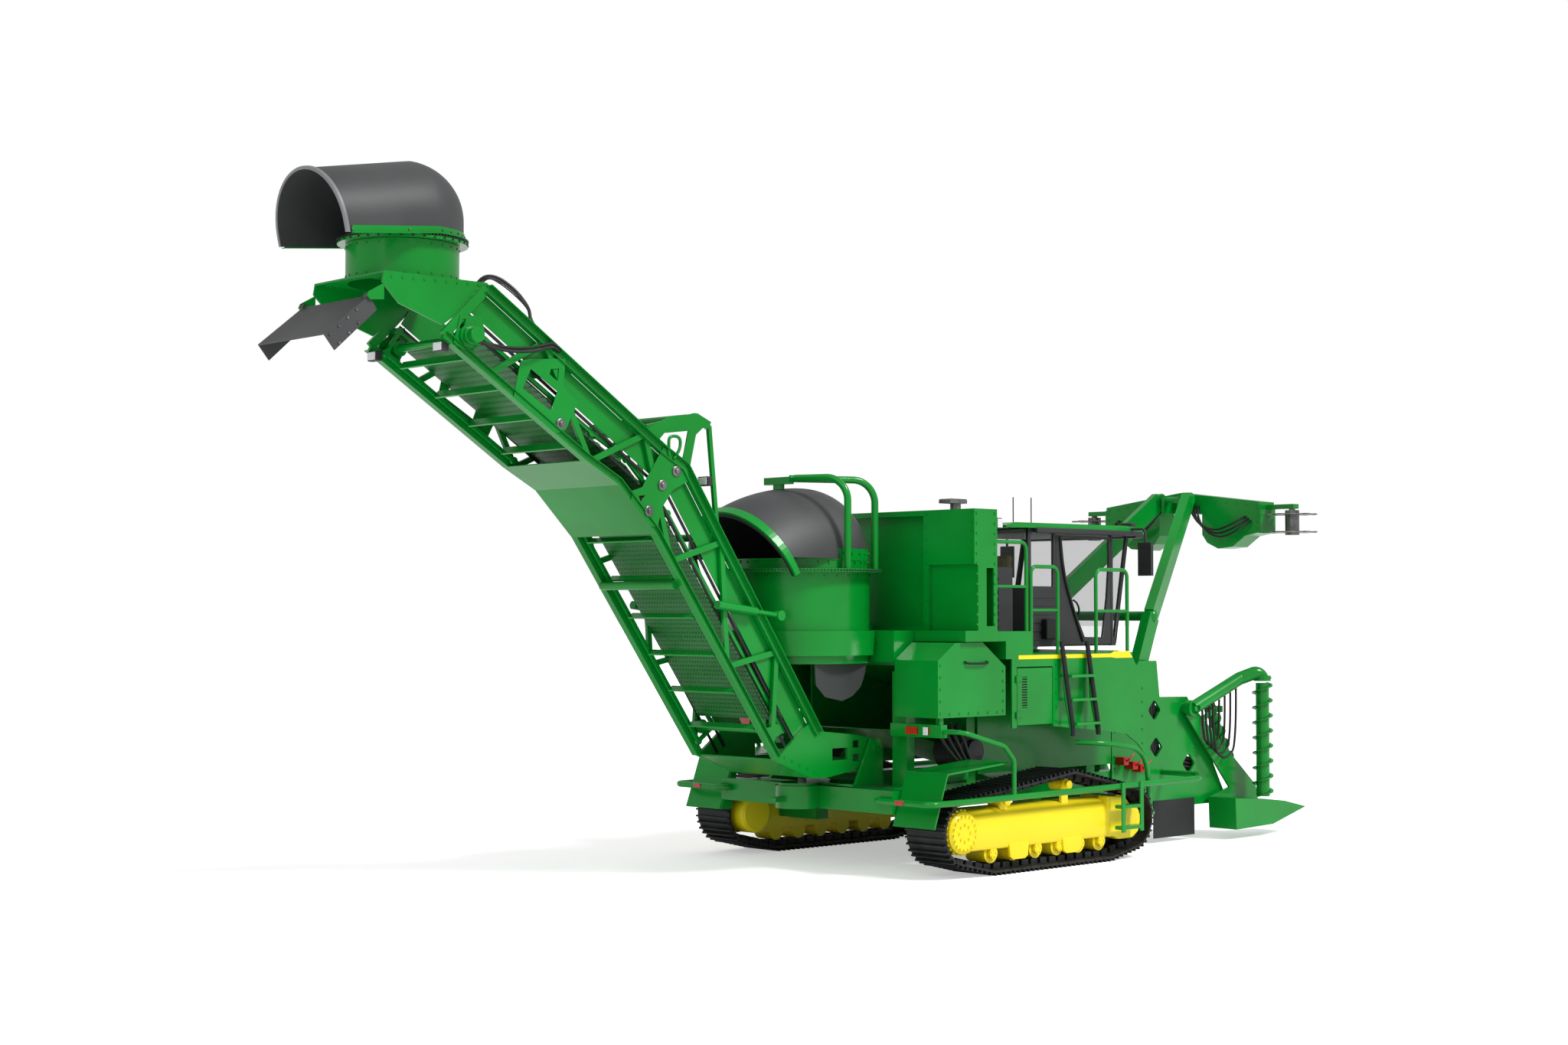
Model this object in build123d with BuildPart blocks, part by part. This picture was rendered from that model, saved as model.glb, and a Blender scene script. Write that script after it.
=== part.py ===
from build123d import *
import os
from math import asin, atan2, cos, degrees, hypot, radians, sin, tan

# Tracked two-row sugarcane harvester, millimetres.
# X forward, Y left, Z up; the origin is on the ground under the middle of the machine.

os.makedirs("parts", exist_ok=True)

SIDES = (("left", 1), ("right", -1))

# Fits and gaps
PIN_FIT = 0.05            # radial play of a pin or shaft in its bore
SEAT_GAP = 0.3            # gap between faces that turn past each other
ROLLER_GAP = 0.6          # gap between a roller and the track it runs in
SHEET = 20                # folded sheet panels
PLATE = 30                # structural side plates
GLASS = 8

# Undercarriage
TRACK_Y = 1700            # middle of each track
SHOE_WIDTH = 560
LUG_HEIGHT = 45
LUG_LENGTH = 32
SHOE_COUNT = 48
BELT = 75                 # shoe and link thickness under the lugs
SPROCKET = (20, 490)      # x, z
IDLER = (2920, 470)
END_RADIUS = 380          # to the lug tips
GROUND_ROLLERS = (480, 2500)
GROUND_RADIUS = 200
CARRIER = (1850, 870)
CARRIER_RADIUS = 220
REAR_CARRIER_X = 790
BEAM_WIDTH = 380
BEAM_X = (300, 2560)
BEAM_Z = (360, 700)
BEAM_ROUND = 110
GUIDES = (960, 1880)      # track guides along the beam
HANGER_GAP = 280          # between the roller hangers
ROLLER_COUNT = 6
ROLLER_RADIUS = 110
CARRIER_ROLLER = 65
WHEEL_RADIUS = 250

# Chassis
BEAM_Y = (880, 1100)
CHASSIS_Z = (680, 930)
REAR_BEAM_X = (-500, -320)
REAR_BEAM_HALF = 1370
AXLE_STATIONS = (660, 2200)
AXLE_LENGTH = 200
FRONT_PLATE_Y = 1100      # inner face of the front side plates
CHASSIS_FRONT = 4300
TOW_X = -920              # towing eye behind the slew pad
TOW_Z = (760, 810)
TOW_BORE = 25

# Decks and body panels
BODY_Y = 1700
DECK_Z = 2380
DECK_THICK = 50
WALKWAY_TOP = 2640
BULKHEAD_Y = 1105         # inner walls under the deck
REAR_BODY_Z = (2300, 2650)
TOWER_X = (400, 780)
TOWER_Y = 1760
TOWER_TOP = 3990
WING_INNER = 1000
HOUSING_HALF = 700        # feed housing, outside

# Cab
CAB_HALF = 850
CAB_WALL = 60
CAB_REAR = 2390
CAB_FRONT_LOW = 4050
CAB_FRONT_HIGH = 4330
CAB_TOP = 3850
ROOF_TOP = 3920
DOOR_X = (2900, 3960)
DOOR_GAP = 8

# Primary extractor and elevator slew share one upright axis
EXTRACTOR_X = -580
EXTRACTOR_RADIUS = 800
EXTRACTOR_Z = (2310, 3290)
HOOD_BASE = 3440
HOOD_RADIUS = 780
HOOD_WALL = 14
SLEW_TOP = 960

# Elevator, side view of its right frame
PIVOT = (-64, 1351)       # x, z of the lift pivot
FRAME_Y = (600, 640)
LOWER_CHORD = ((-1547, 1268), (-3250, 3645), (-3733, 4126), (-4154, 4352), (-5840, 5420))
UPPER_CHORD = ((-860, 1560), (-2798, 4384), (-3099, 4551), (-5300, 5985))
CHORD = 90
RETURN_DEPTH = 70         # chain runs, measured from the lower chord
CARRY_DEPTH = 340
CHAIN_Y = (535, 570)
CHAIN_BAR = 40
SLAT_PITCH = 487
SLAT_HALF = 535

# Secondary extractor
SECOND_X = -5860
SECOND_RADIUS = 540
SECOND_Z = (6010, 6365)
SECOND_HOOD_BASE = 6430
SECOND_HOOD_RADIUS = 580
SECOND_HOOD_RISE = 760

# Topper
ARM_BASE = (4350, 950, 2150)
ARM_ELBOW = (4690, 900, 2800)
ARM_TOP = (6400, 235, 4350)

# Crop dividers
DIVIDER_PIVOT = (5070, 1650)
DIVIDER_HEAD = (6230, 2110)
SCROLL_Y = 1500
SCROLL_FLIGHT = 135


def slab(x, y, z, mode=Mode.ADD):
    """Box between two planes on each axis."""
    with Locations(((x[0] + x[1]) / 2, (y[0] + y[1]) / 2, (z[0] + z[1]) / 2)):
        Box(abs(x[1] - x[0]), abs(y[1] - y[0]), abs(z[1] - z[0]), mode=mode)


def across(points, y, mode=Mode.ADD):
    """Side-view outline (x, z) carried across the machine from y[0] to y[1]."""
    low, high = min(y), max(y)
    with BuildSketch(Plane.XZ.offset(-high)) as outline:
        with BuildLine():
            Polyline(*points, close=True)
        make_face()
    extrude(outline.sketch, amount=high - low, mode=mode)


def bar(start, end, width, y, mode=Mode.ADD):
    """Flat bar between two side-view points."""
    length = hypot(end[0] - start[0], end[1] - start[1])
    side = (-(end[1] - start[1]) / length * width / 2, (end[0] - start[0]) / length * width / 2)
    corners = [
        (start[0] + side[0], start[1] + side[1]),
        (end[0] + side[0], end[1] + side[1]),
        (end[0] - side[0], end[1] - side[1]),
        (start[0] - side[0], start[1] - side[1]),
    ]
    across(corners, y, mode)


def disc(x, z, radius, y, mode=Mode.ADD):
    """Cylinder across the machine."""
    low, high = min(y), max(y)
    with BuildSketch(Plane.XZ.offset(-high)) as circle:
        with Locations((x, z)):
            Circle(radius)
    extrude(circle.sketch, amount=high - low, mode=mode)


def post(x, y, radius, z, mode=Mode.ADD):
    """Upright cylinder."""
    with Locations((x, y, (z[0] + z[1]) / 2)):
        Cylinder(radius, abs(z[1] - z[0]), mode=mode)


def tube(points, bend, radius):
    """Round tube along straight runs joined by bends."""
    with BuildLine() as path:
        FilletPolyline(*points, radius=bend)
    with BuildSketch(Plane(origin=path.line @ 0, z_dir=path.line % 0)) as section:
        Circle(radius)
    sweep(section.sketch, path=path.line)


def rung(x0, x1, y, z, radius, mode=Mode.ADD):
    """Round bar along the machine."""
    with Locations(Location(((x0 + x1) / 2, y, z), (0, 90, 0))):
        Cylinder(radius, abs(x1 - x0), mode=mode)


def strut(start, end, width, height):
    """Straight box-section strut between two points in space."""
    along = Vector(*end) - Vector(*start)
    level = Vector(0, 0, 1).cross(along).normalized()
    with BuildSketch(Plane(origin=start, x_dir=level, z_dir=along)) as section:
        Rectangle(width, height)
    extrude(section.sketch, amount=along.length)


def offset_run(points, depth):
    """Points moved square to the lower chord by depth, mitred at each bend."""
    moved = []
    for i, (x, z) in enumerate(points):
        before = points[max(i - 1, 0)]
        after = points[min(i + 1, len(points) - 1)]
        normals = []
        for p, q in ((before, (x, z)), ((x, z), after)):
            run = hypot(q[0] - p[0], q[1] - p[1])
            if run:
                normals.append(((q[1] - p[1]) / run, -(q[0] - p[0]) / run))
        nx = sum(n[0] for n in normals) / len(normals)
        nz = sum(n[1] for n in normals) / len(normals)
        scale = depth / (nx * nx + nz * nz)
        moved.append((x + nx * scale, z + nz * scale))
    return moved


def stations(points, pitch, start):
    """Points and slopes every pitch along a polyline."""
    found = []
    reach = start
    for p, q in zip(points, points[1:]):
        run = hypot(q[0] - p[0], q[1] - p[1])
        while reach <= run:
            t = reach / run
            slope = degrees(atan2(q[1] - p[1], q[0] - p[0]))
            found.append((p[0] + (q[0] - p[0]) * t, p[1] + (q[1] - p[1]) * t, slope))
            reach += pitch
        reach -= run
    return found


def hinge_post(x, y, face, pin, z):
    """Bracket and upright pin on a fixed wall; face is the wall's outer plane."""
    for low, high in z:
        slab((x - 1.6 * pin, x + 1.6 * pin), (y - 1.6 * pin, face), (low - 2 * pin, low))
        post(x, y, pin, (low, high))


def hinge_leaf(x, y, face, pin, z, reach):
    """Barrels that turn on the pins, with leaves lying on a door's outer face."""
    for low, high in z:
        post(x, y, 1.5 * pin, (low + SEAT_GAP, high))
        slab((x, reach), (y, face), (low + SEAT_GAP, high))
        post(x, y, pin + PIN_FIT, (low, high), Mode.SUBTRACT)


def save(piece, name):
    """Label a finished piece and write it out."""
    piece.part.label = name
    export_step(piece.part, f"parts/{name}.step")


# Tracks

def track_outline(inset):
    """Loop round the track wheels, inset from the lug tips."""
    wheels = [(*SPROCKET, END_RADIUS), (*IDLER, END_RADIUS), (*CARRIER, CARRIER_RADIUS)]
    wheels += [(x, GROUND_RADIUS, GROUND_RADIUS) for x in GROUND_ROLLERS]
    with BuildSketch(Plane.XZ) as outline:
        for x, z, radius in wheels:
            with Locations((x, z)):
                Circle(radius - inset)
        make_hull()
    return outline.sketch


def track_top(x):
    """Height of the lug tips on the run between sprocket and carrier roller."""
    dx, dz = CARRIER[0] - SPROCKET[0], CARRIER[1] - SPROCKET[1]
    rise = atan2(dz, dx) + asin((CARRIER_RADIUS - END_RADIUS) / hypot(dx, dz))
    return SPROCKET[1] + END_RADIUS / cos(rise) + (x - SPROCKET[0]) * tan(rise)


BELT_IN = LUG_HEIGHT + BELT
CARRIER_Z = {
    CARRIER[0]: CARRIER[1] + CARRIER_RADIUS - BELT_IN - CARRIER_ROLLER - ROLLER_GAP,
    REAR_CARRIER_X: track_top(REAR_CARRIER_X) - BELT_IN - CARRIER_ROLLER - 4 * ROLLER_GAP,
}
HANGER = HANGER_GAP / 2
LOOP = track_outline(LUG_HEIGHT).face().outer_wire()
LUGS = []                 # x, z and slope of each lug, sunk half its height in the belt
for i in range(SHOE_COUNT):
    spot = LOOP.position_at(i / SHOE_COUNT)
    way = LOOP.tangent_at(i / SHOE_COUNT)
    LUGS.append((spot.X, spot.Z, -degrees(atan2(way.Z, way.X))))

for side, s in SIDES:
    mid = s * TRACK_Y
    with BuildPart() as track:
        extrude(Plane((0, mid, 0)) * track_outline(LUG_HEIGHT), amount=SHOE_WIDTH / 2, both=True)
        extrude(Plane((0, mid, 0)) * track_outline(BELT_IN), amount=SHOE_WIDTH / 2, both=True,
                mode=Mode.SUBTRACT)
        for x, z, slope in LUGS:
            with Locations(Location((x, mid, z), (0, slope, 0))):
                Box(LUG_LENGTH, SHOE_WIDTH, 2 * LUG_HEIGHT)
    save(track, f"track_{side}")

with BuildPart() as track_frames:
    for side, s in SIDES:
        mid = s * TRACK_Y
        with BuildSketch(Plane.YZ.offset(BEAM_X[0])) as section:
            with Locations((mid, (BEAM_Z[0] + BEAM_Z[1]) / 2)):
                RectangleRounded(BEAM_WIDTH, BEAM_Z[1] - BEAM_Z[0], BEAM_ROUND)
        extrude(section.sketch, amount=BEAM_X[1] - BEAM_X[0])
        for face in (-1, 1):
            inner = mid + face * HANGER
            slab((450, 2550), (inner, inner + face * 20), (180, BEAM_Z[0] + BEAM_ROUND))
            for x in GUIDES:
                across([(x - 150, 250), (x - 110, 140), (x + 110, 140), (x + 150, 250)],
                       (inner, inner + face * 45))
            drive = (mid + face * 55, mid + face * 255)
            disc(*SPROCKET, 215, drive)
            slab((-60, 400), (mid + face * 55, mid + face * (BEAM_WIDTH / 2 - BEAM_ROUND / 2)), (390, 600))
            yoke = (mid + face * 100, mid + face * 150)
            slab((2500, IDLER[0] + 60), yoke, (IDLER[1] - 70, IDLER[1] + 70))
            disc(*IDLER, 110, (mid + face * 100, mid + face * 200))
        for x, z in CARRIER_Z.items():
            slab((x - 45, x + 45), (mid + s * HANGER, mid + s * (HANGER + 25)),
                 (BEAM_Z[1] - BEAM_ROUND, z + 40))
save(track_frames, "track_frames")

with BuildPart() as track_rollers:
    for side, s in SIDES:
        mid = s * TRACK_Y
        for i in range(ROLLER_COUNT):
            x = 560 + i * (2440 - 560) / (ROLLER_COUNT - 1)
            disc(x, BELT_IN + ROLLER_RADIUS + ROLLER_GAP, ROLLER_RADIUS, (mid - HANGER, mid + HANGER))
        for x, z in CARRIER_Z.items():
            disc(x, z, CARRIER_ROLLER, (mid - s * 60, mid + s * HANGER))
        for (x, z), hub in ((SPROCKET, 55), (IDLER, 100)):
            disc(x, z, WHEEL_RADIUS, (mid - 45, mid + 45))
            disc(x, z, 90, (mid - hub, mid + hub))
save(track_rollers, "track_rollers")

# Chassis

with BuildPart() as main_frame:
    slab(REAR_BEAM_X, (-REAR_BEAM_HALF, REAR_BEAM_HALF), CHASSIS_Z)
    for s in (-1, 1):
        beam = (s * BEAM_Y[0], s * BEAM_Y[1])
        slab((REAR_BEAM_X[0], CHASSIS_FRONT), beam, CHASSIS_Z)
        for x in AXLE_STATIONS:
            axle = (x - AXLE_LENGTH / 2, x + AXLE_LENGTH / 2)
            slab(axle, beam, (410, CHASSIS_Z[1]))
            slab(axle, (s * BEAM_Y[0], s * (TRACK_Y - BEAM_WIDTH / 2)), (410, 620))
        for x in (1000, 3150):
            slab((x, x + 150), (s * 950, s * BEAM_Y[1]), (CHASSIS_Z[0], DECK_Z - DECK_THICK))
            slab((x, x + 150), (s * HOUSING_HALF, s * BEAM_Y[1]), (1560, 1680))
    for x in (660, 2200, 4050):
        slab((x - 90, x + 90), (-BEAM_Y[1], BEAM_Y[1]), (CHASSIS_Z[0], CHASSIS_Z[0] + 120))
    post(EXTRACTOR_X, 0, 260, (CHASSIS_Z[0], CHASSIS_Z[1]))
    slab((EXTRACTOR_X, REAR_BEAM_X[1]), (-260, 260), CHASSIS_Z)
    post(EXTRACTOR_X, 0, 90, (CHASSIS_Z[1], SLEW_TOP))
    slab((TOW_X - 60, EXTRACTOR_X), (-60, 60), TOW_Z)
    post(TOW_X, 0, TOW_BORE, TOW_Z, Mode.SUBTRACT)
save(main_frame, "main_frame")

FEED = [(3900, 660), (3900, 1500), (300, 2290), (300, 1520)]
FEED_INNER = [(3950, 685), (3950, 1470), (250, 2265), (250, 1545)]
with BuildPart() as feed_housing:
    across(FEED, (-HOUSING_HALF, HOUSING_HALF))
    across(FEED_INNER, (-HOUSING_HALF + SHEET, HOUSING_HALF - SHEET), Mode.SUBTRACT)
save(feed_housing, "feed_housing")

PLATE_OUTLINE = [(3600, 690), (3600, 1750), (4150, 2250), (4500, 2250), (4560, 1800), (5130, 1790),
                 (5300, 1550), (5900, 560), (5850, 430), (4100, 430)]
DIAMOND = 190
DIAMONDS = ((4450, 1640), (4480, 1180), (5150, 950))
KNOCKDOWN = (5020, 1500)
CUTTER_X = 4250
CUTTER_Y = 330
CUTTER_SHAFT = 60
with BuildPart() as front_frame:
    for s in (-1, 1):
        walls = (s * FRONT_PLATE_Y, s * (FRONT_PLATE_Y + PLATE))
        across(PLATE_OUTLINE, walls)
        for x, z in DIAMONDS:
            with BuildSketch(Plane.XZ) as hole:
                with Locations((x, z)):
                    RectangleRounded(DIAMOND, DIAMOND, DIAMOND / 5, rotation=45)
            extrude(hole.sketch, amount=2 * FRONT_PLATE_Y, both=True, mode=Mode.SUBTRACT)
        disc(*KNOCKDOWN, 45 + PIN_FIT, walls, Mode.SUBTRACT)
        pin_out = (s * FRONT_PLATE_Y, s * 1320)
        disc(*DIVIDER_PIVOT, 40, pin_out)
        disc(*DIVIDER_PIVOT, 70, (s * FRONT_PLATE_Y, s * 1170))
        disc(ARM_BASE[0], ARM_BASE[2], 45, (s * 860, s * (FRONT_PLATE_Y + PLATE)))
    slab((CUTTER_X - 150, CUTTER_X + 150), (-FRONT_PLATE_Y, FRONT_PLATE_Y), (440, 600))
    for s in (-1, 1):
        post(CUTTER_X, s * CUTTER_Y, CUTTER_SHAFT + PIN_FIT, (440, 600), Mode.SUBTRACT)
save(front_frame, "front_frame")

with BuildPart() as front_flaps:
    for s in (-1, 1):
        slab((4410, 5250), (s * (FRONT_PLATE_Y + PLATE), s * (FRONT_PLATE_Y + PLATE + 12)), (60, 520))
save(front_flaps, "front_flaps")

# Base cutters, knockdown roller

CUTTER_RADIUS = 310
for side, s in SIDES:
    with BuildPart() as base_cutter:
        post(CUTTER_X, s * CUTTER_Y, CUTTER_RADIUS, (170, 200))
        post(CUTTER_X, s * CUTTER_Y, 110, (200, 430))
        post(CUTTER_X, s * CUTTER_Y, CUTTER_SHAFT, (430, 600))
    save(base_cutter, f"base_cutter_{side}")

with BuildPart() as knockdown_roller:
    inner = FRONT_PLATE_Y - 10
    disc(*KNOCKDOWN, 130, (-inner, inner))
    disc(*KNOCKDOWN, 45, (-FRONT_PLATE_Y - PLATE, FRONT_PLATE_Y + PLATE))
    for angle in range(0, 360, 60):
        reach = (KNOCKDOWN[0] + 190 * cos(radians(angle)), KNOCKDOWN[1] + 190 * sin(radians(angle)))
        bar(KNOCKDOWN, reach, 16, (-inner, inner))
save(knockdown_roller, "knockdown_roller")

# Decks and body panels

with BuildPart() as deck:
    with BuildSketch(Plane.XY.offset(DECK_Z - DECK_THICK)):
        with BuildLine():
            Polyline((990, -BODY_Y), (3270, -BODY_Y), (3500, -1060), (4120, -840), (4120, 840),
                     (3500, 1060), (3270, BODY_Y), (990, BODY_Y), close=True)
        make_face()
    extrude(amount=DECK_THICK)
    for s in (-1, 1):
        slab((990, 1440), (s * 1170, s * BODY_Y), (DECK_Z - DECK_THICK, WALKWAY_TOP))
        slab((800, 990), (s * 1170, s * BODY_Y), (2530, WALKWAY_TOP))
        slab((1160, 3590), (s * BULKHEAD_Y, s * (BULKHEAD_Y + SHEET)),
             (CHASSIS_Z[1] + 90, DECK_Z - DECK_THICK))
save(deck, "deck")

LOUVRE_DOOR_X = (1180, 1790)
LOUVRE_DOOR_Z = (1590, 2225)
GRILLE_X = (1260, 1350)
GRILLE_Z = (1780, 2130)
GRILLE_SLATS = 12
LOUVRE_PIN = 8
LOUVRE_HINGE = (LOUVRE_DOOR_X[0] - 20, -BODY_Y - 1.6 * LOUVRE_PIN)
LOUVRE_PIN_Z = ((1680, 1740), (2080, 2140))
ARCH = [(2150, 2330), (3270, 2330), (3520, 1980), (3520, 1150), (3380, 1290), (3150, 1420), (2750, 1470),
        (LOUVRE_DOOR_X[1] + 10, 1560), (LOUVRE_DOOR_X[1] + 10, 2330)]
with BuildPart() as side_panels:
    for s in (-1, 1):
        across(ARCH, (s * (BODY_Y - SHEET), s * BODY_Y))
        slab((3150, 3300), (s * (BULKHEAD_Y + SHEET), s * (BODY_Y - SHEET)), (2150, 2250))
        slab((1090, 1172), (s * (BODY_Y - SHEET), s * BODY_Y), (1560, 2330))
        slab((1172, 2150), (s * (BODY_Y - SHEET), s * BODY_Y), (2240, 2330))
    slab((1172, LOUVRE_DOOR_X[1]), (BODY_Y - SHEET, BODY_Y), (LOUVRE_DOOR_Z[0], 2240))
    hinge_post(*LOUVRE_HINGE, -BODY_Y, LOUVRE_PIN, LOUVRE_PIN_Z)
save(side_panels, "side_panels")

COMPARTMENT_X = (-130, 980)
COMPARTMENT_Z = (1710, 2520)
with BuildPart() as side_lockers:
    for s in (-1, 1):
        locker = [(COMPARTMENT_X[0], COMPARTMENT_Z[0]), (COMPARTMENT_X[0], 2330), (150, COMPARTMENT_Z[1]),
                  (600, COMPARTMENT_Z[1]), (COMPARTMENT_X[1], 2250), (COMPARTMENT_X[1], COMPARTMENT_Z[0])]
        across(locker, (s * 1060, s * BODY_Y))
        slab((-60, 900), (s * 1090, s * (BODY_Y - 30)), (1740, 2250), Mode.SUBTRACT)
        slab((20, 140), (s * BEAM_Y[0], s * 1060), (1900, 2200))
        slab((20, 140), (s * BEAM_Y[0], s * BEAM_Y[1]), (CHASSIS_Z[1], 1900))
        slab((-140, -40), (s * 1000, s * 1750), (1500, 1640))
        slab((-60, 0), (s * 1100, s * 1160), (1640, COMPARTMENT_Z[0]))
        slab((-60, 0), (s * 1600, s * 1660), (1640, COMPARTMENT_Z[0]))
save(side_lockers, "side_lockers")

COLLAR_Z = (2380, REAR_BODY_Z[1])
with BuildPart() as rear_body:
    slab((-80, 790), (-WING_INNER, WING_INNER), REAR_BODY_Z)
    slab((-60, 770), (-WING_INNER + SHEET, WING_INNER - SHEET), (REAR_BODY_Z[0] - 1, REAR_BODY_Z[1] - SHEET),
         Mode.SUBTRACT)
    post(EXTRACTOR_X, 0, EXTRACTOR_RADIUS + 70, COLLAR_Z)
    post(EXTRACTOR_X, 0, EXTRACTOR_RADIUS + 5, (REAR_BODY_Z[0] - 5, REAR_BODY_Z[1] + 5), Mode.SUBTRACT)
    for s in (-1, 1):
        slab((250, 790), (s * WING_INNER, s * TOWER_Y), (2530, REAR_BODY_Z[1]))
        slab((620, 790), (s * HOUSING_HALF, s * WING_INNER), (2100, REAR_BODY_Z[0]))
save(rear_body, "rear_body")

with BuildPart() as cooling_tower:
    slab(TOWER_X, (-TOWER_Y, TOWER_Y), (REAR_BODY_Z[1], TOWER_TOP))
    slab((TOWER_X[0] + 170, TOWER_X[1] - SHEET), (-TOWER_Y + SHEET, TOWER_Y - SHEET),
         (REAR_BODY_Z[1] - 1, TOWER_TOP - SHEET), Mode.SUBTRACT)
    slab((TOWER_X[0] - 1, TOWER_X[0] + 130), (-WING_INNER, WING_INNER),
         (REAR_BODY_Z[1] + 40, TOWER_TOP - 60), Mode.SUBTRACT)
    for s in (-1, 1):
        slab((TOWER_X[0] - 1, TOWER_X[0] + 60), (s * 1080, s * (TOWER_Y + 1)), (REAR_BODY_Z[1] - 1, 3380),
             Mode.SUBTRACT)
        slab((TOWER_X[0] + 200, TOWER_X[1] - 60), (s * (TOWER_Y - 100), s * (TOWER_Y + 1)), (2700, 3340),
             Mode.SUBTRACT)
save(cooling_tower, "cooling_tower")

ENGINE_COVER_X = (800, 1750)
ENGINE_COVER_HALF = 1150
ENGINE_COVER_TOP = 3370
with BuildPart() as engine_cover:
    slab(ENGINE_COVER_X, (-ENGINE_COVER_HALF, ENGINE_COVER_HALF), (DECK_Z, ENGINE_COVER_TOP))
    slab((ENGINE_COVER_X[0] + SHEET, ENGINE_COVER_X[1] - SHEET),
         (-ENGINE_COVER_HALF + SHEET, ENGINE_COVER_HALF - SHEET), (DECK_Z - 1, ENGINE_COVER_TOP - SHEET),
         Mode.SUBTRACT)
    slab((950, 1500), (-ENGINE_COVER_HALF - 1, ENGINE_COVER_HALF + 1), (2600, 3250), Mode.SUBTRACT)
    slab((ENGINE_COVER_X[1] - 60, ENGINE_COVER_X[1] + 1), (-800, 800), (2600, 3200), Mode.SUBTRACT)
    for s in (-1, 1):
        for i in range(8):
            z = 2620 + i * 80
            slab((950, 1500), (s * (ENGINE_COVER_HALF - SHEET), s * ENGINE_COVER_HALF), (z, z + 30))
save(engine_cover, "engine_cover")

with BuildPart() as engine:
    slab((1000, 1600), (-550, 550), (DECK_Z, 3150))
    chamfer(engine.edges().filter_by(Axis.Z), 60)
save(engine, "engine")

with BuildPart() as engine_door:
    slab(LOUVRE_DOOR_X, (-BODY_Y, -BODY_Y + SHEET), LOUVRE_DOOR_Z)
    slab(GRILLE_X, (-BODY_Y - 1, -BODY_Y + SHEET / 2), GRILLE_Z, Mode.SUBTRACT)
    for i in range(GRILLE_SLATS):
        z = GRILLE_Z[0] + (i + 0.5) * (GRILLE_Z[1] - GRILLE_Z[0]) / GRILLE_SLATS
        slab(GRILLE_X, (-BODY_Y, -BODY_Y + SHEET), (z - 6, z + 6))
    hinge_leaf(*LOUVRE_HINGE, -BODY_Y, LOUVRE_PIN, LOUVRE_PIN_Z, LOUVRE_DOOR_X[0] + 70)
save(engine_door, "engine_door")

# Rear fenders, guards, ladders, railings

with BuildPart() as fenders:
    for s in (-1, 1):
        span = (s * 1395, s * 1985)
        bar((-290, 1130), (700, 1210), SHEET, span)
        bar((-500, 560), (-290, 1130), SHEET, span)
        across([(-500, 560), (-290, 1130), (700, 1210), (700, 1000), (-260, 960), (-330, 560)],
               (s * 1375, s * 1395))
        slab((500, 560), (s * BEAM_Y[1], s * 1375), (1020, 1080))
        slab((500, 560), (s * (BEAM_Y[1] - 60), s * BEAM_Y[1]), (CHASSIS_Z[1], 1080))
save(fenders, "fenders")

GUARD_Y = 2040
GUARD_RADIUS = 35
with BuildPart() as side_guards:
    for s in (-1, 1):
        tube([(REAR_BEAM_X[0], s * 1200, 830), (-620, s * 1200, 830), (-620, s * GUARD_Y, 830),
              (-100, s * GUARD_Y, 830), (4100, s * GUARD_Y, 870), (4600, s * 1650, 870),
              (4600, s * (FRONT_PLATE_Y + PLATE), 870)],
             110, GUARD_RADIUS)
        tube([(-90, s * 1750, 1570), (-90, s * GUARD_Y, 1570), (560, s * GUARD_Y, 1400),
              (720, s * GUARD_Y, 1240), (720, s * GUARD_Y, 840)], 100, GUARD_RADIUS - 8)
save(side_guards, "side_guards")

RAIL = 22
RAIL_Y = 1650
RAILS = (                 # rear x, front x, foot z, top z
    (830, 1400, WALKWAY_TOP, 3640),
    (1480, 1952, DECK_Z, 3370),
    (2651, 3240, DECK_Z, 3350),
)
with BuildPart() as railings:
    for s in (-1, 1):
        y = s * RAIL_Y
        for x0, x1, z0, z1 in RAILS:
            tube([(x0, y, z0), (x0, y, z1), (x1, y, z1), (x1, y, z0)], 90, RAIL)
            middle = (z0 + z1) / 2
            rung(x0, x1, y, middle, RAIL * 0.8)
save(railings, "railings")

LADDER_X = (1960, 2420)
with BuildPart() as ladders:
    for s in (-1, 1):
        for x in LADDER_X:
            tube([(x, s * (BODY_Y + 40), DECK_Z - 30), (x, s * (BODY_Y + 60), 1900),
                  (x, s * (BODY_Y + 160), 1450)], 60, 25)
            slab((x - 20, x + 20), (s * BODY_Y, s * (BODY_Y + 40)), (DECK_Z - 45, DECK_Z - 5))
        for i, z in enumerate((2130, 1860, 1590)):
            lean = (60, 70, 130)[i]
            slab(LADDER_X, (s * (BODY_Y + lean - 40), s * (BODY_Y + lean + 90)), (z - 20, z + 10))
        strap = GUARD_Y + GUARD_RADIUS + SEAT_GAP
        for x in (2560, 2900):
            slab((x, x + 60), (s * strap, s * (strap + 16)), (330, 900))
        for z in (360, 600):
            slab((2560, 2960), (s * (strap - 90), s * (strap + 16)), (z, z + 40))
save(ladders, "ladders")

with BuildPart() as tail_lamps:
    for s in (-1, 1):
        slab((-165, -140), (s * 1250, s * 1420), (1530, 1610))
        slab((-165, -140), (s * 1520, s * 1580), (1530, 1610))
        slab((-510, -500), (s * 1280, s * 1365), (780, 850))
save(tail_lamps, "tail_lamps")

EXHAUST = (560, -1340)
with BuildPart() as exhaust:
    post(*EXHAUST, 60, (TOWER_TOP, TOWER_TOP + 70))
    with Locations((EXHAUST[0] - 40, EXHAUST[1], TOWER_TOP + 95)):
        Box(280, 170, 50)
    fillet(exhaust.edges().filter_by(Axis.Y).sort_by(Axis.Z)[-2:], 20)
save(exhaust, "exhaust")

# Cab

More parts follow.
